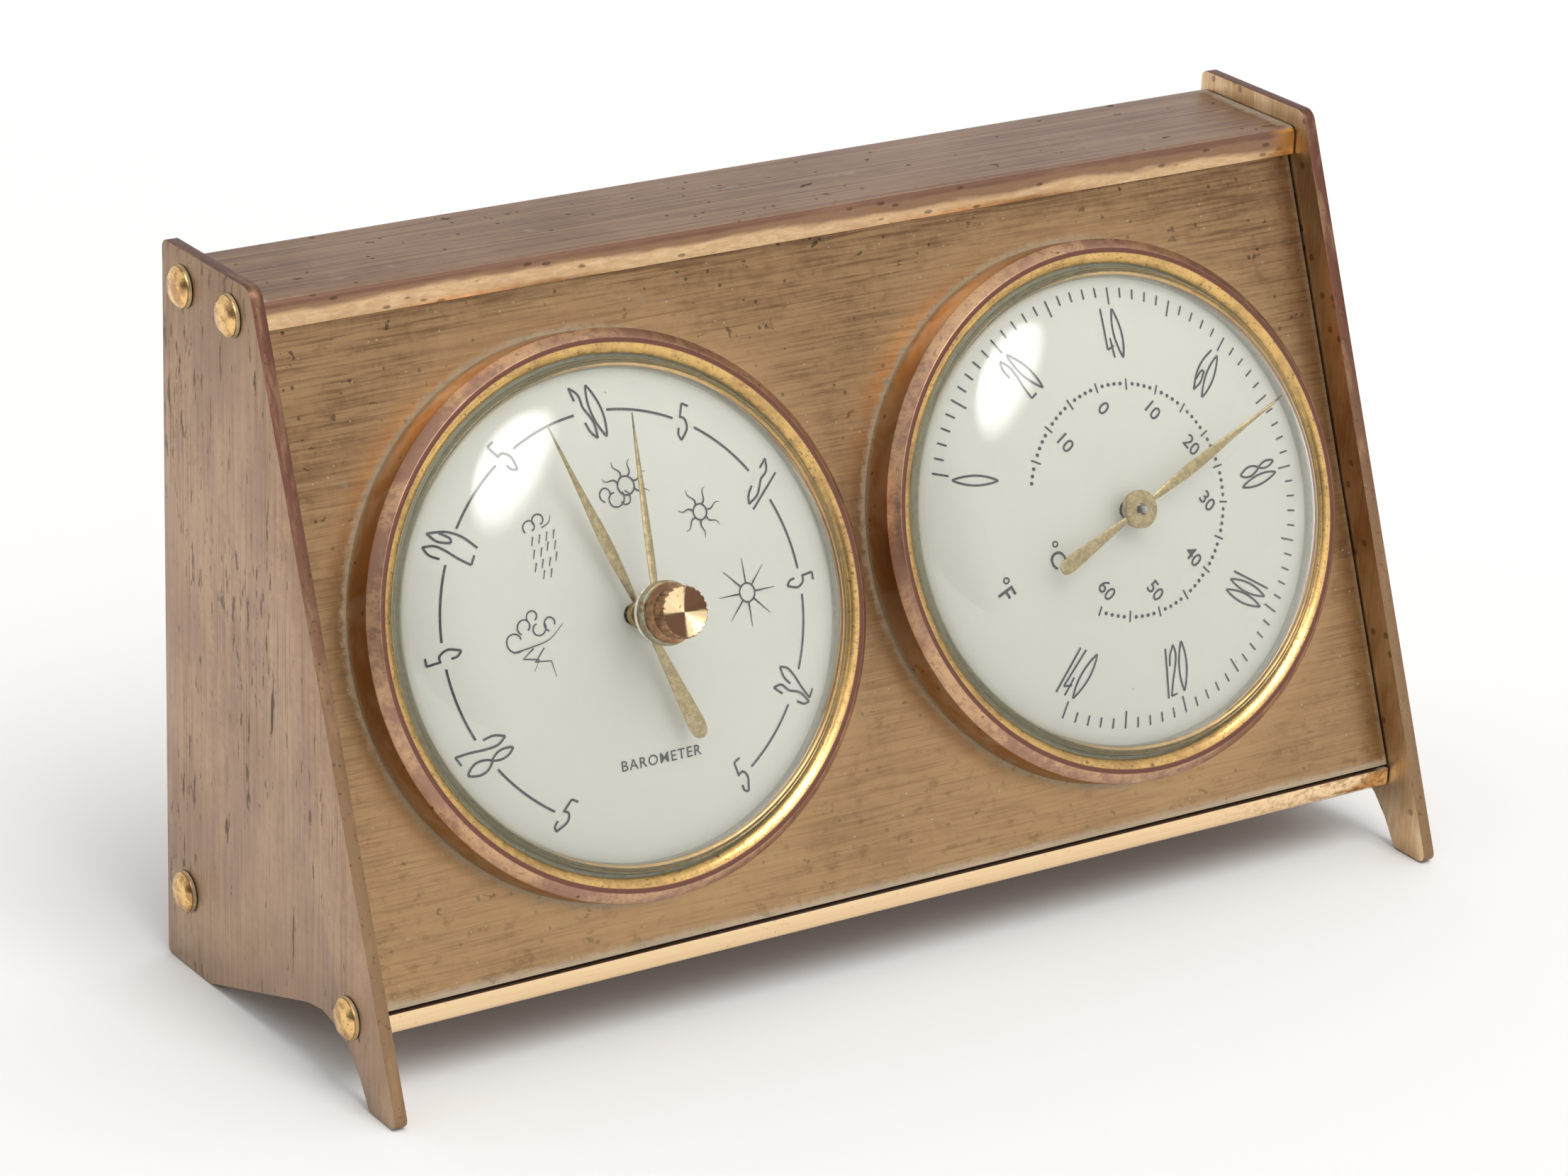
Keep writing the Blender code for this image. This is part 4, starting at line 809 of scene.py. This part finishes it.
# ---------------------------------------------------------------- thermometer print
# Fahrenheit strokes run round the outside every two degrees; Celsius dots run round an
# inner ring. Both rings of marks follow one rule: count, first angle, step and length.
def ring_tree():
    tree = bpy.data.node_groups.new("ring_of_marks", "GeometryNodeTree")
    face = tree.interface
    for name, kind, value in (("Count", "Int", 10), ("First Angle", "Float", 0.0), ("Step", "Float", 0.1),
                              ("Radius", "Float", 30.0), ("Length", "Float", 1.0), ("Width", "Float", 0.2),
                              ("Long Every", "Int", 5), ("Long Length", "Float", 2.0),
                              ("Dome", "Float", 180.0), ("Top", "Float", 8.4), ("Offset", "Float", 0.0)):
        made = face.new_socket(name, in_out="INPUT", socket_type=f"NodeSocket{kind}")
        made.default_value = value
    face.new_socket("Ink", in_out="INPUT", socket_type="NodeSocketMaterial")
    face.new_socket("Marks", in_out="OUTPUT", socket_type="NodeSocketGeometry")
    start, end = tree.nodes.new("NodeGroupInput"), tree.nodes.new("NodeGroupOutput")

    def add(kind, settings=None, inputs=None, output=0):
        made = tree.nodes.new(kind)
        for label, value in (settings or {}).items():
            setattr(made, label, value)
        for label, value in (inputs or {}).items():
            if isinstance(value, bpy.types.NodeSocket):
                tree.links.new(value, made.inputs[label])
            else:
                made.inputs[label].default_value = value
        return made.outputs[output]

    def math_node(operation, first, second=0.0):
        return add("ShaderNodeMath", {"operation": operation}, {0: first, 1: second})

    given = start.outputs
    line = add("GeometryNodeMeshLine", {}, {"Count": given["Count"], "Offset": (0, 0, 1)})
    index = add("GeometryNodeInputIndex")
    angle = math_node("ADD", math_node("MULTIPLY", index, given["Step"]), given["First Angle"])
    whole = math_node("MODULO", index, given["Long Every"])
    is_long = math_node("LESS_THAN", whole, 0.5)
    extra = math_node("MULTIPLY", is_long, math_node("SUBTRACT", given["Long Length"], given["Length"]))
    length = math_node("ADD", given["Length"], extra)
    middle = math_node("SUBTRACT", given["Radius"], math_node("MULTIPLY", extra, 0.5))
    square = math_node("MULTIPLY", middle, middle)
    sunk = math_node("SQRT", math_node("SUBTRACT", math_node("MULTIPLY", given["Dome"], given["Dome"]), square))
    height = math_node("ADD", math_node("SUBTRACT", sunk, given["Dome"]), given["Top"])
    height = math_node("ADD", height, given["Offset"])
    where = add("ShaderNodeCombineXYZ", {}, {
        0: math_node("MULTIPLY", middle, math_node("SINE", angle)),
        1: math_node("MULTIPLY", middle, math_node("COSINE", angle)), 2: height})
    placed = add("GeometryNodeSetPosition", {}, {"Geometry": line, "Position": where})
    mark = add("GeometryNodeMeshGrid", {}, {"Size X": 1.0, "Size Y": 1.0, "Vertices X": 2, "Vertices Y": 3})
    slope = math_node("ARCSINE", math_node("DIVIDE", middle, given["Dome"]))
    tip = add("ShaderNodeCombineXYZ", {}, {0: math_node("MULTIPLY", slope, -1.0), 1: 0.0, 2: 0.0})
    turn = add("ShaderNodeCombineXYZ", {}, {0: 0.0, 1: 0.0, 2: math_node("MULTIPLY", angle, -1.0)})
    size = add("ShaderNodeCombineXYZ", {}, {0: given["Width"], 1: length, 2: 1.0})
    tipped = add("FunctionNodeRotateEuler", {"rotation_type": "EULER", "space": "OBJECT"},
                 {"Rotation": turn, "Rotate By": tip})
    copies = add("GeometryNodeInstanceOnPoints", {}, {"Points": placed, "Instance": mark,
                                                      "Rotation": tipped, "Scale": size})
    solid = add("GeometryNodeRealizeInstances", {}, {"Geometry": copies})
    inked = add("GeometryNodeSetMaterial", {}, {"Geometry": solid, "Material": given["Ink"]})
    tree.links.new(inked, end.inputs["Marks"])
    return tree


ring_of_marks = ring_tree()


def ring_marks(**sizes):
    """Evaluate the ring tree once and return its plain mesh."""
    carrier = bpy.data.objects.new("ring_carrier", bpy.data.meshes.new("ring_carrier"))
    bpy.context.scene.collection.objects.link(carrier)
    ring = carrier.modifiers.new("ring", "NODES")
    ring.node_group = ring_of_marks
    sockets = {s.name: s.identifier for s in ring_of_marks.interface.items_tree if s.in_out == "INPUT"}
    values = dict(sizes, Dome=DIAL_BALL, Top=DIAL_TOP, Offset=0.05, Ink=ink)
    for name, value in values.items():
        ring[sockets[name.replace("_", " ")]] = value
    bpy.context.view_layer.update()
    mesh = bpy.data.meshes.new_from_object(carrier.evaluated_get(bpy.context.evaluated_depsgraph_get()))
    carrier.modifiers.remove(ring)
    bpy.data.objects.remove(carrier)
    return mesh


ZERO_F, DEGREE_F = -71.5, 2.0
ZERO_C = ZERO_F + 32 * DEGREE_F
DEGREE_C = 1.8 * DEGREE_F
fahrenheit = ring_marks(Count=71, First_Angle=math.radians(ZERO_F), Step=math.radians(2 * DEGREE_F), Radius=32.2,
                        Length=1.6, Width=0.28, Long_Every=5, Long_Length=2.7)
celsius = ring_marks(Count=16, First_Angle=math.radians(ZERO_C - 15 * DEGREE_C), Step=math.radians(5 * DEGREE_C),
                     Radius=17.4, Length=1.5, Width=0.26, Long_Every=2, Long_Length=1.7)
bm = bmesh.new()
bm.from_mesh(celsius)
for degree in range(-18, 61):
    a = math.radians(ZERO_C + degree * DEGREE_C)
    if degree % 5:
        x, y = 17.4 * math.sin(a), 17.4 * math.cos(a)
        dot = bmesh.ops.create_circle(bm, cap_ends=True, segments=10, radius=0.29)["verts"]
        bmesh.ops.translate(bm, verts=dot, vec=(x, y, dial_height(17.4) + 0.05))
bmesh.ops.translate(bm, verts=bm.verts, vec=(0.9, 0.9, 0.01))
bm.from_mesh(fahrenheit)
for degree in range(0, 141, 20):
    flipped = degree >= 120
    numeral(bm, str(degree), ZERO_F + degree * DEGREE_F, 26.0, 1.55, 7.4, 12.0 if flipped else -8.0, flipped,
            0.22, 0.32)
TILT = 58.0
words = [("°C", (-13.9, -4.9), 3.7, TILT + 6, 0.03), ("°F", (-23.1, -8.4), 3.9, TILT + 8, 0.03)]
for degree in range(-10, 61, 10):
    a = math.radians(ZERO_C + degree * DEGREE_C)
    words.append((str(abs(degree)), (14.2 * math.sin(a) + 0.9, 14.2 * math.cos(a) + 0.9), 3.1, TILT, 0.02))
add_lettering(bm, *words)
print_dial(bm, "thermometer_print", THERMOMETER, 0.5)


# ================================================================ hands
# Stamped from thin brass sheet, lightly rounded on top and pressed on to their arbors.
# They are greenish gold, with the lacquer broken down to fine dark specks.
def hand_brass():
    f = Finish("hand_brass", Metallic=1.0)
    grain = f.noise((1.2, 1.2, 1.2), 3.0, 0.6, 131.0)
    fleck = f.noise((3.5, 3.5, 3.5), 3.0, 0.65, 132.0)
    tone = f.mix(f.mask(grain, 0.35, 0.65), (0.40, 0.31, 0.15), (0.58, 0.46, 0.24))
    tone = f.mix(f.mask(fleck, 0.56, 0.68) * 0.6, tone, (0.15, 0.115, 0.055))
    return f.wear(tone, 0.30 + fleck * 0.22, fleck + grain, 0.01)


hand_finish = hand_brass()


def turned_frame(joint_frame, angle):
    return joint_frame @ Matrix.Rotation(-math.radians(angle), 4, "Z")


def blade(bm, shape, low, high, droop=0.0, origin=0.0):
    """A hand's flat arm: (reach, half width) pairs, crowned a little along the middle."""
    rows = []
    for reach, half in shape:
        sink = droop * (reach - origin)
        rows.append([bm.verts.new((x, reach, z - sink)) for x, z in (
            (-half, low), (-half, high - 0.08), (-half * 0.7, high), (0, high + 0.05), (half * 0.7, high),
            (half, high - 0.08), (half, low))])
    for first, second in zip(rows, rows[1:]):
        for k in range(7):
            bm.faces.new((first[k], first[(k + 1) % 7], second[(k + 1) % 7], second[k]))
    bm.faces.new(rows[0][::-1])
    bm.faces.new(rows[-1])


def swell(points, per=6):
    """Smooth (reach, half width) outline through a few chosen widths."""
    return [(p.x, max(p.y, 0.04)) for p in smooth_line(points, per=per)]


def hub(bm, outline):
    verts = [bm.verts.new((r, 0, h)) for r, h in outline]
    edges = [bm.edges.new((verts[i], verts[(i + 1) % len(verts)])) for i in range(len(verts))]
    edges = [e for e in edges if max(abs(v.co.x) for v in e.verts) > 1e-9]
    bmesh.ops.spin(bm, geom=edges + verts, cent=(0, 0, 0), axis=(0, 0, 1), angle=2 * math.pi,
                   steps=64, use_merge=True)


def finish_hand(bm, name, joint_frame, body, node):
    bmesh.ops.remove_doubles(bm, verts=bm.verts, dist=1e-5)
    bmesh.ops.recalc_face_normals(bm, faces=bm.faces)
    made = finish_mesh(bm, name, joint_frame, 0.6)
    made.data.materials.append(hand_finish)
    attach(made, body)
    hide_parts(node)


rest_angle = {"pressure": -19.0, "setting": 7.1, "temperature": 67.0}
h = HAND_HEIGHTS["pressure"]
bm = bmesh.new()
blade(bm, swell([(1.4, 0.40), (5, 0.62), (9, 0.84), (13, 0.84), (18, 0.55), (24, 0.26), (30.1, 0.10)]),
      h - 0.14, h + 0.10)
blade(bm, swell([(-19.9, 0.10), (-19.75, 0.62), (-19.2, 1.10), (-18.2, 1.36), (-16.6, 1.34), (-12, 1.04), (-6, 0.66),
                 (-1.4, 0.42)]), h - 0.14, h + 0.10)
hub(bm, [(0.9, h - 0.9), (1.9, h - 0.9), (2.0, h - 0.8), (2.0, h + 0.2), (1.88, h + 0.3), (0.9, h + 0.3)])
finish_hand(bm, "pressure_pointer_hand", turned_frame(BAROMETER, rest_angle["pressure"]), "pressure_pointer",
            "pressure_hand")

h = 15.2
bm = bmesh.new()
blade(bm, swell([(1.9, 0.46), (6, 0.60), (12, 0.58), (20, 0.36), (28.3, 0.08)]), h - 0.12, h + 0.06,
      3.55 / 26.6, 1.9)
hub(bm, [(1.3, h - 0.5), (2.3, h - 0.5), (2.4, h - 0.4), (2.4, h + 0.2), (2.3, h + 0.3), (1.3, h + 0.3)])
finish_hand(bm, "set_pointer_hand", turned_frame(BAROMETER, rest_angle["setting"]), "knob", "setting_hand")

h = HAND_HEIGHTS["temperature"]
low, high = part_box("temperature_hand")
bm = bmesh.new()
blade(bm, swell([(2.4, 0.35), (6, 0.62), (11, 0.88), (15, 0.80), (20, 0.50), (26, 0.28), (32.0, 0.12)]),
      h - 0.14, h + 0.10)
blade(bm, swell([(-16.9, 0.10), (-16.75, 0.6), (-16.2, 1.0), (-15.2, 1.15), (-13.4, 1.12), (-9, 0.84), (-5, 0.56),
                 (-2.4, 0.36)]), h - 0.14, h + 0.10)
hub(bm, [(0.9, h - 0.6), (2.75, h - 0.6), (2.85, h - 0.5), (2.85, h + 0.38), (2.72, h + 0.5), (0.9, h + 0.5)])
finish_hand(bm, "temperature_pointer_hand", turned_frame(THERMOMETER, rest_angle["temperature"]),
            "temperature_pointer", "temperature_hand")


# ================================================================ bezels
# Two brass rings, spun and turned: a straight skirt, a wide chamfer, a narrow flat land and
# a rolled inner lip that holds the glass. Handled edges have gone pink and red brown.
def bezel_brass(name, joint_frame, seed):
    f = Finish(name, Metallic=1.0)
    away, across, rise = round_dial(f, joint_frame)
    out = f.node("ShaderNodeVectorMath", {"operation": "DOT_PRODUCT"}, {0: f.place, 1: outward}, 1)
    height = out - (joint_frame.translation / MM).dot(outward)
    cloud = f.noise((0.10, 0.10, 0.10), 3.0, 0.6, seed, 0.5)
    mottle = f.noise((0.8, 0.8, 0.8), 4.0, 0.65, seed + 1)
    fleck = f.noise((2.4, 2.4, 2.4), 3.0, 0.6, seed + 2)
    skirt = f.mix(f.mask(cloud, 0.42, 0.62), (0.40, 0.225, 0.095), (0.46, 0.33, 0.23))
    chamfer = f.mix(f.mask(cloud * 0.6 + mottle * 0.4, 0.42, 0.60), (0.42, 0.245, 0.175), (0.72, 0.46, 0.27))
    chamfer = f.mix(f.mask(mottle, 0.56, 0.68) * 0.55, chamfer, (0.27, 0.145, 0.110))
    land = f.mix(mottle, RED_PATINA, (0.21, 0.10, 0.075))
    lip = f.mix(f.mask(mottle * 0.5 + cloud * 0.5, 0.40, 0.66), (0.78, 0.50, 0.19), (0.50, 0.31, 0.13))
    lip = f.mix(f.mask(fleck, 0.58, 0.68) * 0.75, lip, (0.12, 0.075, 0.040))
    tone = f.mix(f.mask(height, 5.75, 5.95), skirt, chamfer)
    tone = f.mix(f.mask(away, 39.5, 39.35), tone, land)
    tone = f.mix(f.mask(away, 38.8, 38.6), tone, lip)
    ragged = mottle * 1.6
    crust = f.mask(height - ragged, 0.2, -0.7)
    seam = f.mask(away - mottle * 0.5, 37.25, 36.95)
    dust = f.mask(crust + seam * 0.9, 0.0, 1.0) * 0.6
    tone = f.mix(dust, tone, (0.46, 0.43, 0.31))
    spots = f.specks((0.6, 0.6, 0.6), 0.24, 0.14, seed)
    tone = f.mix(spots * 0.6, tone, (0.10, 0.055, 0.035))
    inner = f.mask(away, 38.8, 38.6)
    rough = 0.30 + mottle * 0.16 - inner * 0.14 + dust * 0.3
    return f.wear(tone, rough, mottle * 0.7 + fleck * 0.3 - spots, 0.016, 1.0 - dust * 0.6)


BEZEL_R = 40.9
LIP_R = BEZEL_R - 3.7
for label, joint_frame, seed in (("barometer", BAROMETER, 141.0), ("thermometer", THERMOMETER, 151.0)):
    ring = turned_body(f"{label}_bezel_ring", [
        (BEZEL_R, 0.12), (BEZEL_R, 5.78), (BEZEL_R - 0.05, 5.90), (BEZEL_R - 1.42, 7.46), (BEZEL_R - 1.52, 7.50),
        (BEZEL_R - 2.08, 7.50), (BEZEL_R - 2.2, 7.47), (BEZEL_R - 2.7, 7.34), (BEZEL_R - 3.1, 7.14),
        (BEZEL_R - 3.42, 6.88), (BEZEL_R - 3.62, 6.62), (LIP_R, 6.40), (LIP_R, 6.2), (BEZEL_R - 2.0, 6.2),
        (BEZEL_R - 2.0, 1.5), (BEZEL_R - 1.1, 1.4), (BEZEL_R - 1.1, 0.12)], joint_frame, 192, 0.45)
    ring.data.materials.append(bezel_brass(f"{label}_bezel_brass", joint_frame, seed))
    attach(ring, "case")
    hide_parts(f"{label}_bezel")


# ================================================================ glasses
# Clear acrylic domes about 1.2 mm thick, heat formed over a plug, their rims trapped under
# the bezel lips. The barometer's is drilled in the middle for the setting shaft.
def clear_dome():
    f = Finish("clear_acrylic", Metallic=0.0, IOR=1.49, Transmission_Weight=1.0)
    f.shader.inputs["Base Color"].default_value = (0.985, 0.99, 0.975, 1)
    smear = f.noise((0.12, 0.12, 0.12), 3.0, 0.6, 161.0)
    return f.wear(None, 0.005 + f.mask(smear, 0.5, 0.8) * 0.02)


def glass_rim():
    f = Finish("acrylic_rim", Metallic=0.0, IOR=1.49, Transmission_Weight=0.55)
    grime = f.noise((0.9, 0.9, 0.9), 4.0, 0.65, 162.0)
    tone = f.mix(f.mask(grime, 0.45, 0.65), (0.80, 0.80, 0.66), (0.66, 0.64, 0.48))
    return f.wear(tone, 0.22 + grime * 0.3)


def gasket_card():
    f = Finish("gasket_card", Metallic=0.0)
    fibre = f.noise((2.0, 2.0, 2.0), 3.0, 0.6, 163.0)
    return f.wear(f.mix(fibre, (0.66, 0.65, 0.54), (0.76, 0.75, 0.64)), 0.7 + fibre * 0.1, fibre, 0.01)


acrylic, rim_acrylic, card = clear_dome(), glass_rim(), gasket_card()
GLASS_R, GLASS_BASE, GLASS_TOP, GLASS_WALL = LIP_R - 0.4, 6.3, 17.4, 1.2
for label, joint_frame, hole in (("barometer", BAROMETER, 4.3), ("thermometer", THERMOMETER, 0.0)):
    def skin(radius, top, steps=40):
        row = [(radius * math.sin(0.999 * math.pi / 2 * k / steps),
                GLASS_BASE + (top - GLASS_BASE) * math.cos(0.999 * math.pi / 2 * k / steps))
               for k in range(steps + 1)]
        return [(hole, top - 0.01)] + [p for p in row if p[0] > hole + 0.6] if hole else row
    over, under = skin(GLASS_R, GLASS_TOP), skin(GLASS_R - GLASS_WALL, GLASS_TOP - GLASS_WALL)
    glass = turned_body(f"{label}_glass", over + [
        (GLASS_R, 5.9), (BEZEL_R - 2.4, 5.9), (BEZEL_R - 2.4, 5.0), (GLASS_R - GLASS_WALL, 5.0)] + under[::-1],
        joint_frame, 192, 0.6)
    glass.data.materials.append(acrylic)
    glass.data.materials.append(rim_acrylic)
    inverse = joint_frame.inverted()
    for polygon in glass.data.polygons:
        polygon.material_index = int((inverse @ polygon.center).z < GLASS_BASE + 0.55)
    gasket = turned_body(f"{label}_gasket", [
        (DIAL_R + 0.05, 4.35), (BEZEL_R - 2.15, 4.35), (BEZEL_R - 2.15, 4.9), (DIAL_R + 0.05, 4.9)],
        joint_frame, 128, 0.5)
    gasket.data.materials.append(card)
    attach(gasket, "case")
    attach(glass, "case")
    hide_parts(f"{label}_crystal")


# ================================================================ knob bush
# A turned collar cemented over the hole in the barometer's glass. Polish and dust have
# dried on it to a grey green crust, with a brighter rim where the knob rubs.
def crusted_brass():
    f = Finish("crusted_brass")
    crumb = f.noise((1.8, 1.8, 1.8), 4.0, 0.65, 171.0)
    cloud = f.noise((0.5, 0.5, 0.5), 3.0, 0.6, 172.0)
    crust = f.mask(crumb * 0.6 + cloud * 0.4, 0.42, 0.56)
    tone = f.mix(crust, (0.34, 0.23, 0.11), (0.40, 0.385, 0.27))
    tone = f.mix(f.mask(crumb, 0.60, 0.70) * 0.6, tone, (0.10, 0.075, 0.04))
    return f.wear(tone, 0.35 + crust * 0.4, crumb, 0.06, 1.0 - crust * 0.85)


bush = turned_body("glass_bush", [
    (1.3, 15.9), (4.0, 15.9), (4.2, 16.1), (4.25, 17.5), (4.5, 17.6), (4.6, 17.75), (4.6, 18.7), (4.5, 18.95), (4.25, 19.15),
    (3.9, 19.2), (1.3, 19.2)], BAROMETER, 96, 0.5)
bush.data.materials.append(crusted_brass())
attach(bush, "case")
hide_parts("knob_bush")


# ================================================================ setting knob
# A small turned knob: flared collar, straight knurled wall and a flat face with fine
# turning marks. It carries the set hand on a shaft through the glass. The sheen of the
# turning marks is painted into the face's colour as bright and dark sectors.
def knob_brass(name, face):
    f = Finish(name, Metallic=1.0)
    away, across, rise = round_dial(f, BAROMETER)
    fleck = f.noise((1.6, 1.6, 1.6), 3.0, 0.65, 181.0)
    cloud = f.noise((0.35, 0.35, 0.35), 3.0, 0.6, 182.0)
    grooves = f.node("ShaderNodeMath", {"operation": "SINE"}, {0: away * 62.0})
    if face:
        # Painted reflection: the bright and dark sectors round the face are the sheen of its turning marks, painted
        # into its colour.
        near_one = away * away + 0.05
        painted_sheen_sectors = ((across * across - rise * rise) * 0.2 + across * rise * 1.9) / near_one
        tone = f.mix(f.mask(painted_sheen_sectors + cloud * 0.5, 0.08, 0.46), (0.95, 0.73, 0.42), (0.17, 0.088, 0.052))
    else:
        tone = f.mix(f.mask(cloud, 0.40, 0.62), (0.50, 0.29, 0.155), (0.25, 0.135, 0.075))
    tone = f.mix(f.mask(fleck, 0.60, 0.68) * 0.8, tone, (0.16, 0.08, 0.045))
    if face:
        return f.wear(tone, 0.18 + fleck * 0.12, grooves * 0.5 + fleck * 0.3, 0.012)
    return f.wear(tone, 0.24 + fleck * 0.2, fleck, 0.02)


KNOB_R, COLLAR_R, KNOB_BASE, KNOB_FACE, FLUTES = 3.75, 4.25, 19.5, 23.4, 22
bm = bmesh.new()
turns = FLUTES * 8
levels = [(1.0, 14.2), (1.0, KNOB_BASE), (COLLAR_R - 0.08, KNOB_BASE), (COLLAR_R, KNOB_BASE + 0.08),
          (COLLAR_R, KNOB_BASE + 0.34), (COLLAR_R - 0.08, KNOB_BASE + 0.44), (KNOB_R - 0.12, KNOB_BASE + 1.25),
          (KNOB_R - 0.10, KNOB_BASE + 1.35), (KNOB_R, KNOB_BASE + 1.55), (KNOB_R, KNOB_FACE - 0.22),
          (KNOB_R - 0.06, KNOB_FACE - 0.08), (KNOB_R - 0.20, KNOB_FACE), (KNOB_R - 0.5, KNOB_FACE - 0.03),
          (0.3, KNOB_FACE - 0.26)]
rows = []
for radius, height in levels:
    fluted = height > KNOB_BASE + 1.4 and radius > KNOB_R - 0.3
    row = []
    for k in range(turns):
        a = 2 * math.pi * k / turns
        dip = 0.20 * max(0.0, math.cos(FLUTES * a)) ** 0.7 if fluted else 0.0
        row.append(bm.verts.new(((radius - dip) * math.cos(a), (radius - dip) * math.sin(a), height)))
    rows.append(row)
for first, second in zip(rows, rows[1:]):
    for k in range(turns):
        bm.faces.new((first[k], first[(k + 1) % turns], second[(k + 1) % turns], second[k]))
for row, height in ((rows[0], levels[0][1]), (rows[-1], levels[-1][1])):
    middle = bm.verts.new((0, 0, height))
    for k in range(turns):
        bm.faces.new((middle, row[k], row[(k + 1) % turns]))
bmesh.ops.recalc_face_normals(bm, faces=bm.faces)
knob = finish_mesh(bm, "set_knob_body", BAROMETER, 0.5)
knob.data.materials.append(knob_brass("knob_wall_brass", False))
knob.data.materials.append(knob_brass("knob_face_brass_painted_sheen", True))
for polygon in knob.data.polygons:
    local = BAROMETER.inverted() @ polygon.center
    polygon.material_index = int(local.z > KNOB_FACE - 0.3 and local.to_2d().length < KNOB_R - 0.25)
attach(knob, "knob")
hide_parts("setting_knob")
